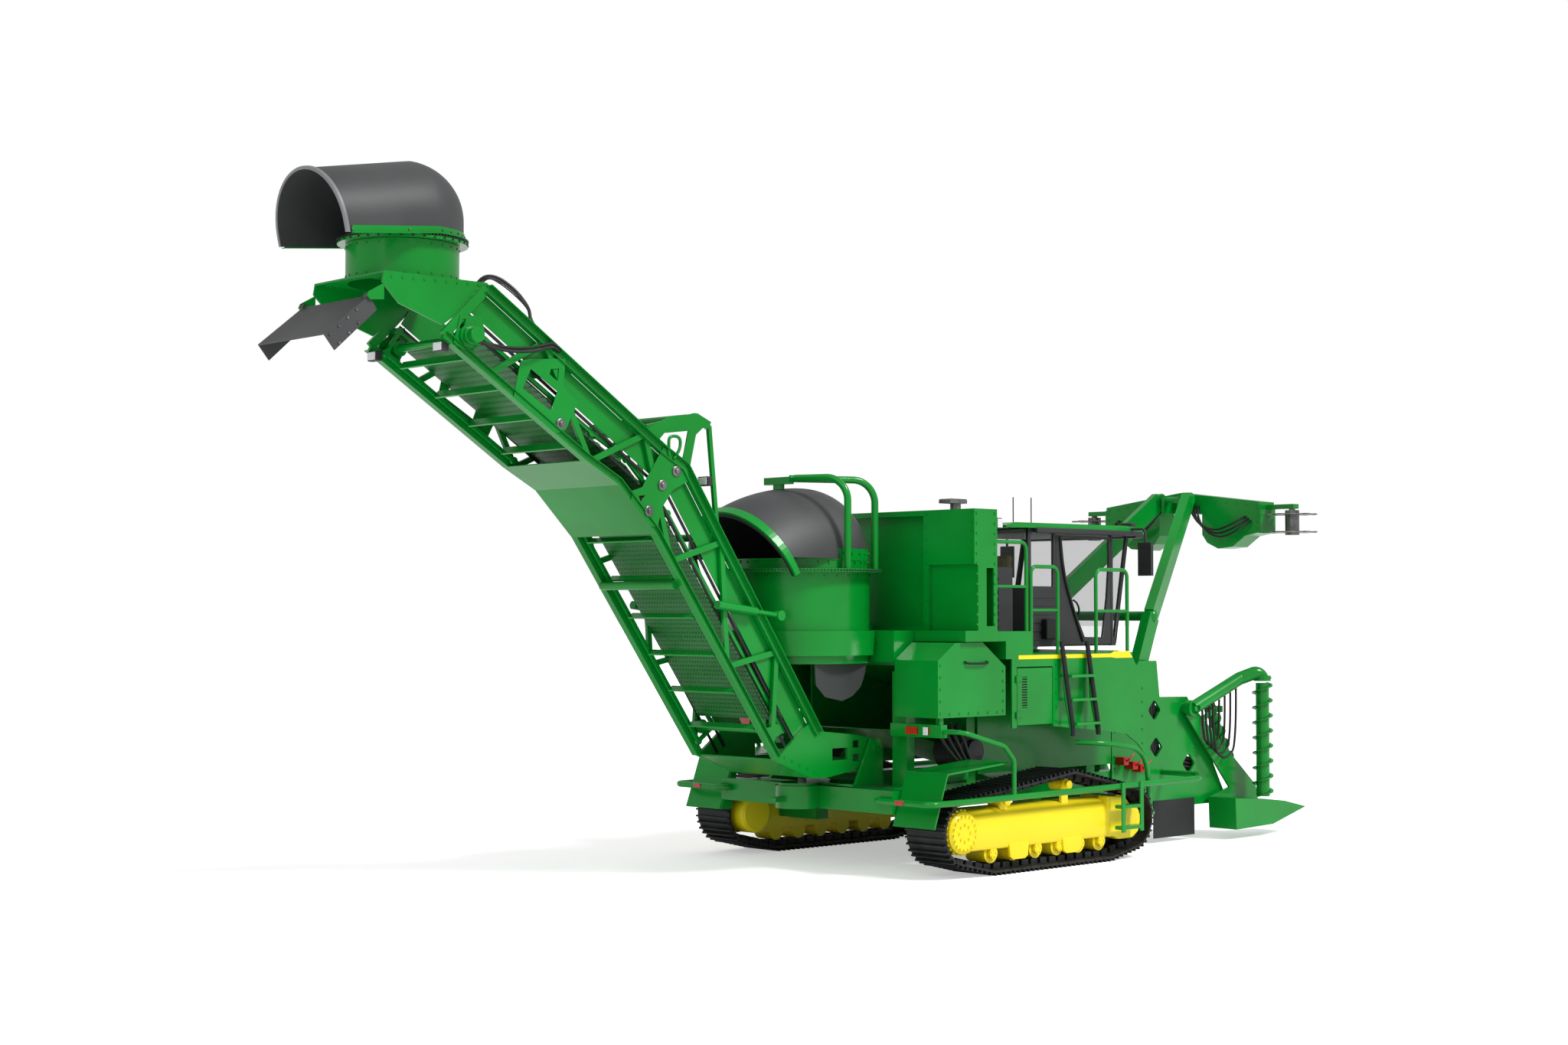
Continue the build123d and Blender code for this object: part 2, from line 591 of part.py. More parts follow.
CAB_SIDE = [(CAB_REAR, DECK_Z), (CAB_FRONT_LOW, DECK_Z), (CAB_FRONT_HIGH, CAB_TOP), (CAB_REAR, CAB_TOP)]
CAB_INSIDE = [(CAB_REAR + CAB_WALL, DECK_Z + CAB_WALL), (CAB_FRONT_LOW - CAB_WALL, DECK_Z + CAB_WALL),
              (CAB_FRONT_HIGH - CAB_WALL, CAB_TOP + 1), (CAB_REAR + CAB_WALL, CAB_TOP + 1)]
DOOR_Z = (DECK_Z + 40, CAB_TOP - 40)
CAB_PIN = 12
CAB_HINGE = (DOOR_X[0] - 25, -CAB_HALF - 1.6 * CAB_PIN)
CAB_PIN_Z = ((2600, 2680), (3450, 3530))
QUARTER_X = (CAB_REAR + 80, DOOR_X[0] - 60)
QUARTER_Z = (2950, CAB_TOP - 60)


def windscreen_x(z):
    """Outer face of the leaning windscreen."""
    return CAB_FRONT_LOW + (CAB_FRONT_HIGH - CAB_FRONT_LOW) * (z - DECK_Z) / (CAB_TOP - DECK_Z)


SCREEN_Z = (DECK_Z + 120, CAB_TOP - 60)
SCREEN_CUT = [(windscreen_x(SCREEN_Z[0]) - 200, SCREEN_Z[0]), (windscreen_x(SCREEN_Z[0]) + 50, SCREEN_Z[0]),
              (windscreen_x(SCREEN_Z[1]) + 50, SCREEN_Z[1]), (windscreen_x(SCREEN_Z[1]) - 200, SCREEN_Z[1])]
PANE_X = [windscreen_x(z) - 30 for z in SCREEN_Z]
SCREEN_PANE = [(PANE_X[0] - GLASS, SCREEN_Z[0]), (PANE_X[0], SCREEN_Z[0]),
               (PANE_X[1], SCREEN_Z[1]), (PANE_X[1] - GLASS, SCREEN_Z[1])]
SCREEN_HALF = CAB_HALF - 70
with BuildPart() as cab_frame:
    across(CAB_SIDE, (-CAB_HALF, CAB_HALF))
    across(CAB_INSIDE, (-CAB_HALF + CAB_WALL, CAB_HALF - CAB_WALL), Mode.SUBTRACT)
    across(SCREEN_CUT, (-SCREEN_HALF, SCREEN_HALF), Mode.SUBTRACT)
    slab((CAB_REAR - 1, CAB_REAR + CAB_WALL + 1), (-SCREEN_HALF, SCREEN_HALF), QUARTER_Z, Mode.SUBTRACT)
    for s in (-1, 1):
        wall = (s * (CAB_HALF - CAB_WALL - 1), s * (CAB_HALF + 1))
        slab(QUARTER_X, wall, QUARTER_Z, Mode.SUBTRACT)
        slab(DOOR_X, wall, DOOR_Z, Mode.SUBTRACT)
    hinge_post(*CAB_HINGE, -CAB_HALF, CAB_PIN, CAB_PIN_Z)
save(cab_frame, "cab_frame")

PANE_Y = (CAB_HALF - 30 - GLASS, CAB_HALF - 30)
with BuildPart() as cab_glass:
    across(SCREEN_PANE, (-SCREEN_HALF, SCREEN_HALF))
    slab((CAB_REAR + 20, CAB_REAR + 20 + GLASS), (-SCREEN_HALF, SCREEN_HALF), QUARTER_Z)
    for s in (-1, 1):
        slab(QUARTER_X, (s * PANE_Y[0], s * PANE_Y[1]), QUARTER_Z)
    slab(DOOR_X, PANE_Y, DOOR_Z)
save(cab_glass, "cab_glass")

PILLAR = [(2930, 3760), (2985, 3760), (3085, 3225), (3330, 2450), (2930, 2450), (2930, 3000), (3020, 3225)]
with BuildPart() as cab_door:
    door_x = (DOOR_X[0] + DOOR_GAP, DOOR_X[1] - DOOR_GAP)
    door_z = (DOOR_Z[0] + DOOR_GAP, DOOR_Z[1] - DOOR_GAP)
    slab(door_x, (-CAB_HALF, -CAB_HALF + 45), door_z)
    slab((door_x[0] + 60, door_x[1] - 60), (-CAB_HALF - 1, -CAB_HALF + 46), (door_z[0] + 60, door_z[1] - 60),
         Mode.SUBTRACT)
    across(PILLAR, (-CAB_HALF, -CAB_HALF + 20))
    hinge_leaf(*CAB_HINGE, -CAB_HALF, CAB_PIN, CAB_PIN_Z, DOOR_X[0] + 60)
save(cab_door, "cab_door")

with BuildPart() as cab_door_glass:
    slab((door_x[0] + 60, door_x[1] - 60), (-CAB_HALF + 20, -CAB_HALF + 20 + GLASS),
         (door_z[0] + 60, door_z[1] - 60))
save(cab_door_glass, "cab_door_glass")

with BuildPart() as cab_roof:
    across([(1900, CAB_TOP + 20), (1930, CAB_TOP), (4480, CAB_TOP), (4560, CAB_TOP - 40),
            (4560, CAB_TOP - 15), (4480, CAB_TOP + 45), (4200, ROOF_TOP), (2100, ROOF_TOP - 10)],
           (-CAB_HALF - 60, CAB_HALF + 60))
save(cab_roof, "cab_roof")

with BuildPart() as seat:
    slab((2800, 3250), (-260, 260), (2850, 2960))
    slab((2720, 2840), (-260, 260), (2960, 3560))
    slab((2900, 3150), (-150, 150), (DECK_Z + CAB_WALL, 2850))
save(seat, "seat")

with BuildPart() as console:
    slab((3720, 3840), (-90, 90), (DECK_Z + CAB_WALL, 2980))
    with Locations(Location((3700, 0, 3030), (0, -35, 0))):
        Cylinder(190, 24)
    with Locations(Location((3730, 0, 2990), (0, -35, 0))):
        Cylinder(30, 90)
    slab((3300, 3500), (-420, -330), (DECK_Z + CAB_WALL, 2950))
    slab((3420, 3460), (-520, -280), (2950, 3150))
save(console, "console")

with BuildPart() as mirrors:
    for s in (-1, 1):
        tube([(4300, s * (CAB_HALF + 60), 3880), (4300, s * 1120, 3880), (4300, s * 1120, 3700)], 60, 16)
        slab((4280, 4330), (s * 1020, s * 1220), (3300, 3710))
save(mirrors, "mirrors")

# Primary extractor

CHUTE_Y = 660
SPIDER_Z = (2480, 2540)
FAN_SHAFT = 50
with BuildPart() as extractor_housing:
    post(EXTRACTOR_X, 0, EXTRACTOR_RADIUS, EXTRACTOR_Z)
    post(EXTRACTOR_X, 0, EXTRACTOR_RADIUS - SHEET, (EXTRACTOR_Z[0] - 1, EXTRACTOR_Z[1] + 1), Mode.SUBTRACT)
    inside = EXTRACTOR_RADIUS - SHEET / 2
    post(EXTRACTOR_X, 0, EXTRACTOR_RADIUS, (EXTRACTOR_Z[0] - SHEET, EXTRACTOR_Z[0]))
    post(EXTRACTOR_X, 0, CHUTE_Y - 100, (EXTRACTOR_Z[0] - SHEET - 1, EXTRACTOR_Z[0] + 1), Mode.SUBTRACT)
    slab((EXTRACTOR_X - inside, EXTRACTOR_X + inside), (-60, 60), SPIDER_Z)
    slab((EXTRACTOR_X - 60, EXTRACTOR_X + 60), (-inside, inside), SPIDER_Z)
    post(EXTRACTOR_X, 0, 140, (SPIDER_Z[0] - 20, SPIDER_Z[1] + 20))
    post(EXTRACTOR_X, 0, FAN_SHAFT + PIN_FIT, (SPIDER_Z[0] - 30, SPIDER_Z[1] + 30), Mode.SUBTRACT)
    slab((EXTRACTOR_X + 500, 300), (-300, 300), (REAR_BODY_Z[1], REAR_BODY_Z[1] + 60))
    post(EXTRACTOR_X, 0, EXTRACTOR_RADIUS - SHEET, (REAR_BODY_Z[1] - 1, REAR_BODY_Z[1] + 62), Mode.SUBTRACT)
save(extractor_housing, "extractor_housing")

CHUTE_TOP = EXTRACTOR_Z[0] - SHEET
CHUTE = [(-980, CHUTE_TOP), (-180, CHUTE_TOP), (-200, 2180), (-270, 2030), (-400, 1930), (-560, 1880),
         (-820, 1930), (-960, 2060)]
with BuildPart() as rear_chute:
    for s in (-1, 1):
        across(CHUTE, (s * CHUTE_Y, s * (CHUTE_Y + 15)))
save(rear_chute, "rear_chute")

with BuildPart() as primary_fan:
    post(EXTRACTOR_X, 0, FAN_SHAFT, (SPIDER_Z[0] - 20, 2700))
    post(EXTRACTOR_X, 0, 160, (2700, 2960))
    for i in range(4):
        with Locations(Location((EXTRACTOR_X, 0, 2830), (0, 0, 90 * i))):
            with Locations(Location((430, 0, 0), (28, 0, 0))):
                Box(620, 260, 14)
save(primary_fan, "primary_fan")


def hood_form(x, base, radius, rise, sweep_radius, sweep_angle):
    """Dome over an upright duct that turns into an arched mouth facing the rear."""
    straight = rise - radius
    with BuildPart() as form:
        with BuildSketch(Plane((x, 0, base), x_dir=(1, 0, 0), z_dir=(0, -1, 0))):
            with BuildLine():
                Polyline((0, rise), (0, 0), (radius, 0), (radius, straight))
                CenterArc((0, straight), radius, 0, 90)
            make_face()
        revolve(axis=Axis((x, 0, base), (0, 0, 1)), revolution_arc=360)
        with BuildSketch(Plane((x, 0, base), x_dir=(0, 1, 0), z_dir=(1, 0, 0))):
            with BuildLine():
                Polyline((-radius, straight), (-radius, 0), (radius, 0), (radius, straight))
                CenterArc((0, straight), radius, 0, 180)
            make_face()
        revolve(axis=Axis((x, 0, base - sweep_radius), (0, -1, 0)), revolution_arc=sweep_angle)
        with Locations((x, 0, base - 1000)):
            Box(6 * radius, 6 * radius, 2000, mode=Mode.SUBTRACT)
    return form.part


with BuildPart() as primary_hood:
    add(hood_form(EXTRACTOR_X, HOOD_BASE, HOOD_RADIUS, HOOD_RADIUS + 20, 1600, 30))
    add(hood_form(EXTRACTOR_X, HOOD_BASE, HOOD_RADIUS - HOOD_WALL, HOOD_RADIUS + 20 - HOOD_WALL, 1600, 33),
        mode=Mode.SUBTRACT)
save(primary_hood, "primary_hood")

RING_RADIUS = 930
BAND = 8                  # flange round the foot of the hood
with BuildPart() as primary_ring:
    post(EXTRACTOR_X, 0, RING_RADIUS, (EXTRACTOR_Z[1] + SEAT_GAP, 3330))
    post(EXTRACTOR_X, 0, HOOD_RADIUS, (3330, HOOD_BASE))
    post(EXTRACTOR_X, 0, HOOD_RADIUS - HOOD_WALL, (EXTRACTOR_Z[1], HOOD_BASE + 1), Mode.SUBTRACT)
    post(EXTRACTOR_X, 0, HOOD_RADIUS + BAND, (HOOD_BASE - 20, HOOD_BASE + 110))
    slab((EXTRACTOR_X - 2 * HOOD_RADIUS, EXTRACTOR_X - 250), (-HOOD_RADIUS - 50, HOOD_RADIUS + 50),
         (HOOD_BASE, HOOD_BASE + 120), Mode.SUBTRACT)
    for angle in (-95, -43):
        fx = EXTRACTOR_X + 860 * cos(radians(angle))
        fy = 860 * sin(radians(angle))
        tube([(fx, fy, 3330), (fx, fy, 4330), (EXTRACTOR_X - 300, fy * 0.3, 4330)], 260, 40)
    slab((EXTRACTOR_X - 340, EXTRACTOR_X - 260), (-200, 200), (4270, 4350))
    slab((EXTRACTOR_X - 330, EXTRACTOR_X - 270), (-60, 60), (4180, 4280))
    add(hood_form(EXTRACTOR_X, HOOD_BASE, HOOD_RADIUS, HOOD_RADIUS + 20, 1600, 30), mode=Mode.SUBTRACT)
save(primary_ring, "primary_ring")

# Elevator

EAR_Y = (660, 700)
PIVOT_PIN = 45
with BuildPart() as slew_table:
    post(EXTRACTOR_X, 0, 230, (CHASSIS_Z[1] + SEAT_GAP, SLEW_TOP))
    post(EXTRACTOR_X, 0, 90 + PIN_FIT, (CHASSIS_Z[1], SLEW_TOP + 1), Mode.SUBTRACT)
    slab((EXTRACTOR_X + 150, PIVOT[0] + 120), (-EAR_Y[1], EAR_Y[1]), (CHASSIS_Z[1] + 5, SLEW_TOP))
    for s in (-1, 1):
        ears = (s * EAR_Y[0], s * EAR_Y[1])
        across([(PIVOT[0] - 320, SLEW_TOP - 20), (PIVOT[0] - 110, PIVOT[1]), (PIVOT[0] - 60, PIVOT[1] + 100),
                (PIVOT[0] + 60, PIVOT[1] + 100), (PIVOT[0] + 120, PIVOT[1]),
                (PIVOT[0] + 120, SLEW_TOP - 20)], ears)
        disc(*PIVOT, PIVOT_PIN, (s * (FRAME_Y[0] - 10), s * (EAR_Y[1] + 20)))
save(slew_table, "slew_table")

BOWL = [(-1547, 1268), (-1000, 1060), (-780, 1050), (-330, 1110), (PIVOT[0] + 100, PIVOT[1] - 90),
        (PIVOT[0] + 100, PIVOT[1] + 90), (-300, 1500), (-860, 1560), (-960, 1706)]
WINDOWS = ((-560, 1300, 240, 130), (-300, 1400, 120, 80), (-300, 1250, 120, 80))
POSTS = ((0.02, 0.20), (0.20, 0.42), (0.42, 0.66), (0.66, 0.90))


def along(points, share):
    """Point at a share of the way along a polyline."""
    runs = [hypot(q[0] - p[0], q[1] - p[1]) for p, q in zip(points, points[1:])]
    left = share * sum(runs)
    for (p, q), run in zip(zip(points, points[1:]), runs):
        if left <= run:
            return (p[0] + (q[0] - p[0]) * left / run, p[1] + (q[1] - p[1]) * left / run)
        left -= run
    return points[-1]


def from_end(start, end, distance):
    """Point a distance along a straight run."""
    run = hypot(end[0] - start[0], end[1] - start[1])
    return (start[0] + (end[0] - start[0]) * distance / run, start[1] + (end[1] - start[1]) * distance / run)


CHAIN_CHORD = (along(LOWER_CHORD, 0.025),) + LOWER_CHORD[1:4] + (along(LOWER_CHORD, 0.975),)
MIDDLE_RUN = offset_run(CHAIN_CHORD, (RETURN_DEPTH + CARRY_DEPTH) / 2)
LOWER_INSIDE = offset_run(LOWER_CHORD, CHORD / 2)
SHAFT_INSET = 100         # chain shafts from the ends of the chain loop
SPROCKET_RIM = SHAFT_INSET - CHAIN_BAR / 2 - SEAT_GAP
SHAFTS = (                # shaft, point of the lower chord that carries it
    (from_end(MIDDLE_RUN[0], MIDDLE_RUN[1], SHAFT_INSET), along(LOWER_INSIDE, 0.055)),
    (from_end(MIDDLE_RUN[-1], MIDDLE_RUN[-2], SHAFT_INSET), along(LOWER_INSIDE, 0.945)),
)
BELLY_RUN = offset_run(LOWER_CHORD, 5)[1:4]
UPPER_INSIDE = offset_run(UPPER_CHORD, -CHORD / 2)
with BuildPart() as elevator_frame:
    for s in (-1, 1):
        wall = (s * FRAME_Y[0], s * FRAME_Y[1])
        across(BOWL, wall)
        for run in (LOWER_INSIDE, UPPER_INSIDE):
            for p, q in zip(run, run[1:]):
                bar(p, q, CHORD, wall)
            for p in run[1:-1]:
                disc(*p, CHORD / 2, wall)
        for low, high in POSTS:
            bar(along(LOWER_INSIDE, low), along(UPPER_INSIDE, high - 0.03), 60, wall)
            bar(along(UPPER_INSIDE, high - 0.03), along(LOWER_INSIDE, high), 60, wall)
        bar(LOWER_INSIDE[-1], UPPER_INSIDE[-1], CHORD, wall)
        for x, z, width, height in WINDOWS:
            slab((x - width / 2, x + width / 2), (s * (FRAME_Y[0] - 1), s * (FRAME_Y[1] + 1)),
                 (z - height / 2, z + height / 2), Mode.SUBTRACT)
        disc(*PIVOT, PIVOT_PIN + PIN_FIT, (s * (FRAME_Y[0] - 1), s * (FRAME_Y[1] + 1)), Mode.SUBTRACT)
    inner = (-FRAME_Y[0], FRAME_Y[0])
    bar((-1547 + 20, 1268 + 10), (-1000, 1070), SHEET, inner)
    bar((-1000, 1070), (-780, 1060), SHEET, inner)
    bar((-780, 1060), (-330, 1120), SHEET, inner)
    bar((-330, 1120), (-250, 1230), SHEET, inner)
    for share in (0.40, 0.80):
        disc(*along(UPPER_INSIDE, share), 40, inner)
    disc(*along(offset_run(LOWER_CHORD, -20), 0.38), 45, inner)
    for p, q in zip(BELLY_RUN, BELLY_RUN[1:]):
        bar(p, q, 10, inner)
    for shaft, foot in SHAFTS:
        disc(*shaft, 40, inner)
        for s in (-1, 1):
            wall = (s * FRAME_Y[0], s * FRAME_Y[1])
            bar(shaft, foot, 100, wall)
            disc(*shaft, 70, wall)
            disc(*shaft, SPROCKET_RIM, (s * (CHAIN_Y[0] + 5), s * (CHAIN_Y[1] - 5)))
save(elevator_frame, "elevator_frame")

FLOOR_CHORD = (along(LOWER_CHORD, 0.06),) + LOWER_CHORD[1:4] + (along(LOWER_CHORD, 0.94),)
FLOOR_RUN = offset_run(FLOOR_CHORD, (RETURN_DEPTH + CARRY_DEPTH) / 2 + 50)
with BuildPart() as elevator_panels:
    inner = (-FRAME_Y[0], FRAME_Y[0])
    for p, q in zip(FLOOR_RUN, FLOOR_RUN[1:]):
        bar(p, q, 12, inner)
save(elevator_panels, "elevator_panels")

RETURN_RUN = offset_run(CHAIN_CHORD, RETURN_DEPTH)
CARRY_RUN = offset_run(CHAIN_CHORD, CARRY_DEPTH)
with BuildPart() as elevator_chain:
    for s in (-1, 1):
        strand = (s * CHAIN_Y[0], s * CHAIN_Y[1])
        loop = RETURN_RUN + CARRY_RUN[::-1]
        for p, q in zip(loop, loop[1:] + loop[:1]):
            bar(p, q, CHAIN_BAR, strand)
        for p in loop:
            disc(*p, CHAIN_BAR, strand)
    for run in (RETURN_RUN, CARRY_RUN):
        for x, z, slope in stations(run, SLAT_PITCH, 240):
            tilt = radians(slope)
            half = (40 * sin(tilt), -40 * cos(tilt))
            bar((x - half[0], z - half[1]), (x + half[0], z + half[1]), 20, (-SLAT_HALF, SLAT_HALF))
save(elevator_chain, "elevator_chain")

with BuildPart() as lift_mast:
    for s in (-1, 1):
        wall = (s * 560, s * 600)
        bar((-2760, 4360), (-2640, 4860), 90, wall)
        bar((-3290, 4720), (-2630, 4880), 90, wall)
        bar((-2630, 4880), (-2440, 4800), 90, wall)
        bar((-2440, 4800), (-2330, 3760), 45, wall)
        bar((-3290, 4720), (-3240, 4560), 60, wall)
    disc(-2630, 4880, 40, (-600, 600))
save(lift_mast, "lift_mast")

CYLINDER = ((-2414, 2931), (-1525, 2818))
CYLINDER_Y = 690
with BuildPart() as lift_cylinders:
    for s in (-1, 1):
        start, end = [Vector(x, s * CYLINDER_Y, z) for x, z in CYLINDER]
        middle = start + (end - start) * 0.62
        for low, high, radius in ((start, middle, 45), (middle, end, 26)):
            with BuildSketch(Plane(origin=low, z_dir=high - low)) as circle:
                Circle(radius)
            extrude(circle.sketch, amount=(high - low).length)
        bar(CYLINDER[0], (middle.X, middle.Z), 60, (s * FRAME_Y[1], s * CYLINDER_Y))
        disc(*CYLINDER[1], 55, (s * (CYLINDER_Y - 40), s * (CYLINDER_Y + 40)))
save(lift_cylinders, "lift_cylinders")

# Secondary extractor at the elevator head

HEAD_BOX = [(-6480, 5900), (-6460, SECOND_Z[0]), (-5300, SECOND_Z[0]), (-5240, 5960), (-5810, 5560),
            (-6300, 5720)]
HEAD_HALF = 600
FLAP_HINGE = (-6600, 5760)
FLAP_PIN = 20
with BuildPart() as head_box:
    across(HEAD_BOX, (-HEAD_HALF, HEAD_HALF))
    across([(-6600, 5500), (-6600, SECOND_Z[0] - SHEET), (-5330, SECOND_Z[0] - SHEET), (-5330, 5500)],
           (-HEAD_HALF + SHEET, HEAD_HALF - SHEET), Mode.SUBTRACT)
    post(SECOND_X, 0, SECOND_RADIUS - SHEET, (SECOND_Z[0] - 60, SECOND_Z[0] + 1), Mode.SUBTRACT)
    for s in (-1, 1):
        across([(-6460, 5740), (-6460, 5890), (-6620, 5800), (-6640, FLAP_HINGE[1]), (-6610, 5725)],
               (s * (HEAD_HALF - SHEET), s * HEAD_HALF))
        disc(*FLAP_HINGE, FLAP_PIN, (s * 520, s * HEAD_HALF))
save(head_box, "head_box")

SECOND_SPIDER = (6030, 6080)
with BuildPart() as secondary_housing:
    post(SECOND_X, 0, SECOND_RADIUS, SECOND_Z)
    post(SECOND_X, 0, SECOND_RADIUS - SHEET, (SECOND_Z[0] - 1, SECOND_Z[1] + 1), Mode.SUBTRACT)
    inside = SECOND_RADIUS - SHEET / 2
    slab((SECOND_X - inside, SECOND_X + inside), (-45, 45), SECOND_SPIDER)
    post(SECOND_X, 0, 90, (SECOND_SPIDER[0], SECOND_SPIDER[1] + 20))
    post(SECOND_X, 0, FAN_SHAFT + PIN_FIT, (SECOND_SPIDER[0] - 1, SECOND_SPIDER[1] + 30), Mode.SUBTRACT)
save(secondary_housing, "secondary_housing")

with BuildPart() as secondary_fan:
    post(SECOND_X, 0, FAN_SHAFT, (SECOND_SPIDER[0], 6140))
    post(SECOND_X, 0, 110, (6140, 6300))
    for i in range(3):
        with Locations(Location((SECOND_X, 0, 6220), (0, 0, 120 * i))):
            with Locations(Location((285, 0, 0), (28, 0, 0))):
                Box(400, 180, 12)
save(secondary_fan, "secondary_fan")

TUNNEL_DROP = radians(11)
TUNNEL_LENGTH = 1800
SKIRT_X = SECOND_X - 640  # the tunnel's side walls hang lower behind this
SECOND_SIDE = [(SECOND_X + 700, SECOND_HOOD_BASE), (SECOND_X + 700, 7300), (-6920, 7300), (-7000, 6972),
               (-7200, 6330), (SKIRT_X, 6330), (SKIRT_X, SECOND_HOOD_BASE)]


def tunnel_form(radius):
    """Quarter dome in front of an arched tunnel that falls to the rear."""
    straight = SECOND_HOOD_RISE - SECOND_HOOD_RADIUS
    with BuildPart() as form:
        upright = Plane((SECOND_X, 0, SECOND_HOOD_BASE), x_dir=(0, 1, 0), z_dir=(1, 0, 0))
        with BuildSketch(upright) as quarter:
            with BuildLine():
                Polyline((0, straight + radius), (0, 0), (radius, 0), (radius, straight))
                CenterArc((0, straight), radius, 0, 90)
            make_face()
        revolve(quarter.sketch, axis=Axis((SECOND_X, 0, 0), (0, 0, -1)), revolution_arc=180)
        with BuildSketch(upright) as arch:
            with BuildLine():
                Polyline((-radius, straight), (-radius, -radius), (radius, -radius), (radius, straight))
                CenterArc((0, straight), radius, 0, 180)
            make_face()
        extrude(arch.sketch, amount=TUNNEL_LENGTH, dir=(-cos(TUNNEL_DROP), 0, -sin(TUNNEL_DROP)))
    return form.part


with BuildPart() as secondary_hood:
    add(tunnel_form(SECOND_HOOD_RADIUS))
    across(SECOND_SIDE, (-SECOND_HOOD_RADIUS, SECOND_HOOD_RADIUS), Mode.INTERSECT)
    add(tunnel_form(SECOND_HOOD_RADIUS - HOOD_WALL), mode=Mode.SUBTRACT)
    post(SECOND_X, 0, 620, (SECOND_Z[1] + SEAT_GAP, 6395))
    post(SECOND_X, 0, SECOND_HOOD_RADIUS, (6395, SECOND_HOOD_BASE))
    post(SECOND_X, 0, SECOND_HOOD_RADIUS - HOOD_WALL - 60, (SECOND_Z[1], SECOND_HOOD_BASE + 1),
         Mode.SUBTRACT)
save(secondary_hood, "secondary_hood")

FLAP_HALF = HEAD_HALF - SHEET - 5
FLAP_TIP = (-7080, 5365)
with BuildPart() as bin_flap:
    bar(FLAP_HINGE, FLAP_TIP, 12, (-FLAP_HALF, FLAP_HALF))
    for s in (-1, 1):
        across([FLAP_HINGE, FLAP_TIP, (-6967, 5229), (-6520, 5640)], (s * (FLAP_HALF - 12), s * FLAP_HALF))
        disc(*FLAP_HINGE, 35, (s * 520, s * FLAP_HALF))
        disc(*FLAP_HINGE, FLAP_PIN + PIN_FIT, (s * 510, s * (FLAP_HALF + 1)), Mode.SUBTRACT)
save(bin_flap, "bin_flap")

# Topper

with BuildPart() as topper_arm:
    for s in (-1, 1):
        base, elbow, top = [(x, s * y, z) for x, y, z in (ARM_BASE, ARM_ELBOW, ARM_TOP)]
        strut(base, elbow, 120, 230)
        strut(elbow, top, 120, 230)
        with Locations(elbow):
            Sphere(100)
        disc(ARM_BASE[0], ARM_BASE[2], 115, (s * 870, s * 1080))
        disc(ARM_BASE[0], ARM_BASE[2], 45 + PIN_FIT, (s * 800, s * 1085), Mode.SUBTRACT)
        disc(ARM_TOP[0], ARM_TOP[2], 90, (s * 180, s * 290))
    disc(ARM_ELBOW[0], ARM_ELBOW[2], 60, (-ARM_ELBOW[1], ARM_ELBOW[1]))
    disc(ARM_TOP[0], ARM_TOP[2], 40, (-290, 290))
save(topper_arm, "topper_arm")

HEAD_X = (6560, 6900)
DRUM = (6760, 1620)
DRUM_DISC = 260
LOBE = [(0, 4450), (1250, 4290), (1250, 3890), (1030, 3850), (830, 3710), (600, 3690), (430, 3770),
        (350, 3880), (350, 4150), (0, 4180)]
HEAD_OUTLINE = LOBE + [(-y, z) for y, z in LOBE[-2:0:-1]]
with BuildPart() as topper_head:
    with BuildSketch(Plane.YZ.offset(HEAD_X[0])):
        with BuildLine():
            Polyline(*HEAD_OUTLINE, close=True)
        make_face()
    extrude(amount=HEAD_X[1] - HEAD_X[0])
    with BuildSketch(Plane.YZ.offset(HEAD_X[0] + PLATE)):
        with BuildLine():
            Polyline(*HEAD_OUTLINE, close=True)
        make_face()
        offset(amount=-SHEET, mode=Mode.REPLACE)
    extrude(amount=HEAD_X[1] - HEAD_X[0], mode=Mode.SUBTRACT)
    for s in (-1, 1):
        slab(HEAD_X, (s * 1240, s * 1270), (3880, 4250))
        slab((DRUM[0] - 60, DRUM[0] + 60), (s * 1240, s * (DRUM[1] + 60)), (4190, 4250))
        post(DRUM[0], s * DRUM[1], 40 + PIN_FIT, (4180, 4260), Mode.SUBTRACT)
        slab((ARM_TOP[0] - 60, HEAD_X[0]), (s * 110, s * 150), (ARM_TOP[2] - 200, ARM_TOP[2] + 60))
    disc(ARM_TOP[0], ARM_TOP[2], 40 + PIN_FIT, (-170, 170), Mode.SUBTRACT)
save(topper_head, "topper_head")

for side, s in SIDES:
    with BuildPart() as topper_drum:
        post(DRUM[0], s * DRUM[1], 40, (4170, 4250))
        post(DRUM[0], s * DRUM[1], 90, (3850, 4170))
        for z in (3880, 4110):
            post(DRUM[0], s * DRUM[1], DRUM_DISC, (z, z + 14))
            with Locations((DRUM[0], s * DRUM[1], z + 7)):
                with PolarLocations(DRUM_DISC, 10):
                    Box(120, 60, 14)
    save(topper_drum, f"topper_drum_{side}")

# Crop dividers

INNER_Y = 1050
INNER_TOP = (5760, 1560)
INNER_LOW = (6350, 470)
INNER_LENGTH = hypot(INNER_LOW[0] - INNER_TOP[0], INNER_LOW[1] - INNER_TOP[1])
BOSS = 110


def inner_axis(s, station):
    """Point on the leaning inner scroll's axis, measured down from its top."""
    t = station / INNER_LENGTH
    x = INNER_TOP[0] + (INNER_LOW[0] - INNER_TOP[0]) * t
    return (x, s * INNER_Y, INNER_TOP[1] + (INNER_LOW[1] - INNER_TOP[1]) * t)


def inner_rod(s, start, end, radius, mode=Mode.ADD):
    """Cylinder on the inner scroll's axis."""
    low, high = Vector(*inner_axis(s, start)), Vector(*inner_axis(s, end))
    with BuildSketch(Plane(origin=low, z_dir=high - low)) as circle:
        Circle(radius)
    extrude(circle.sketch, amount=(high - low).length, mode=mode)


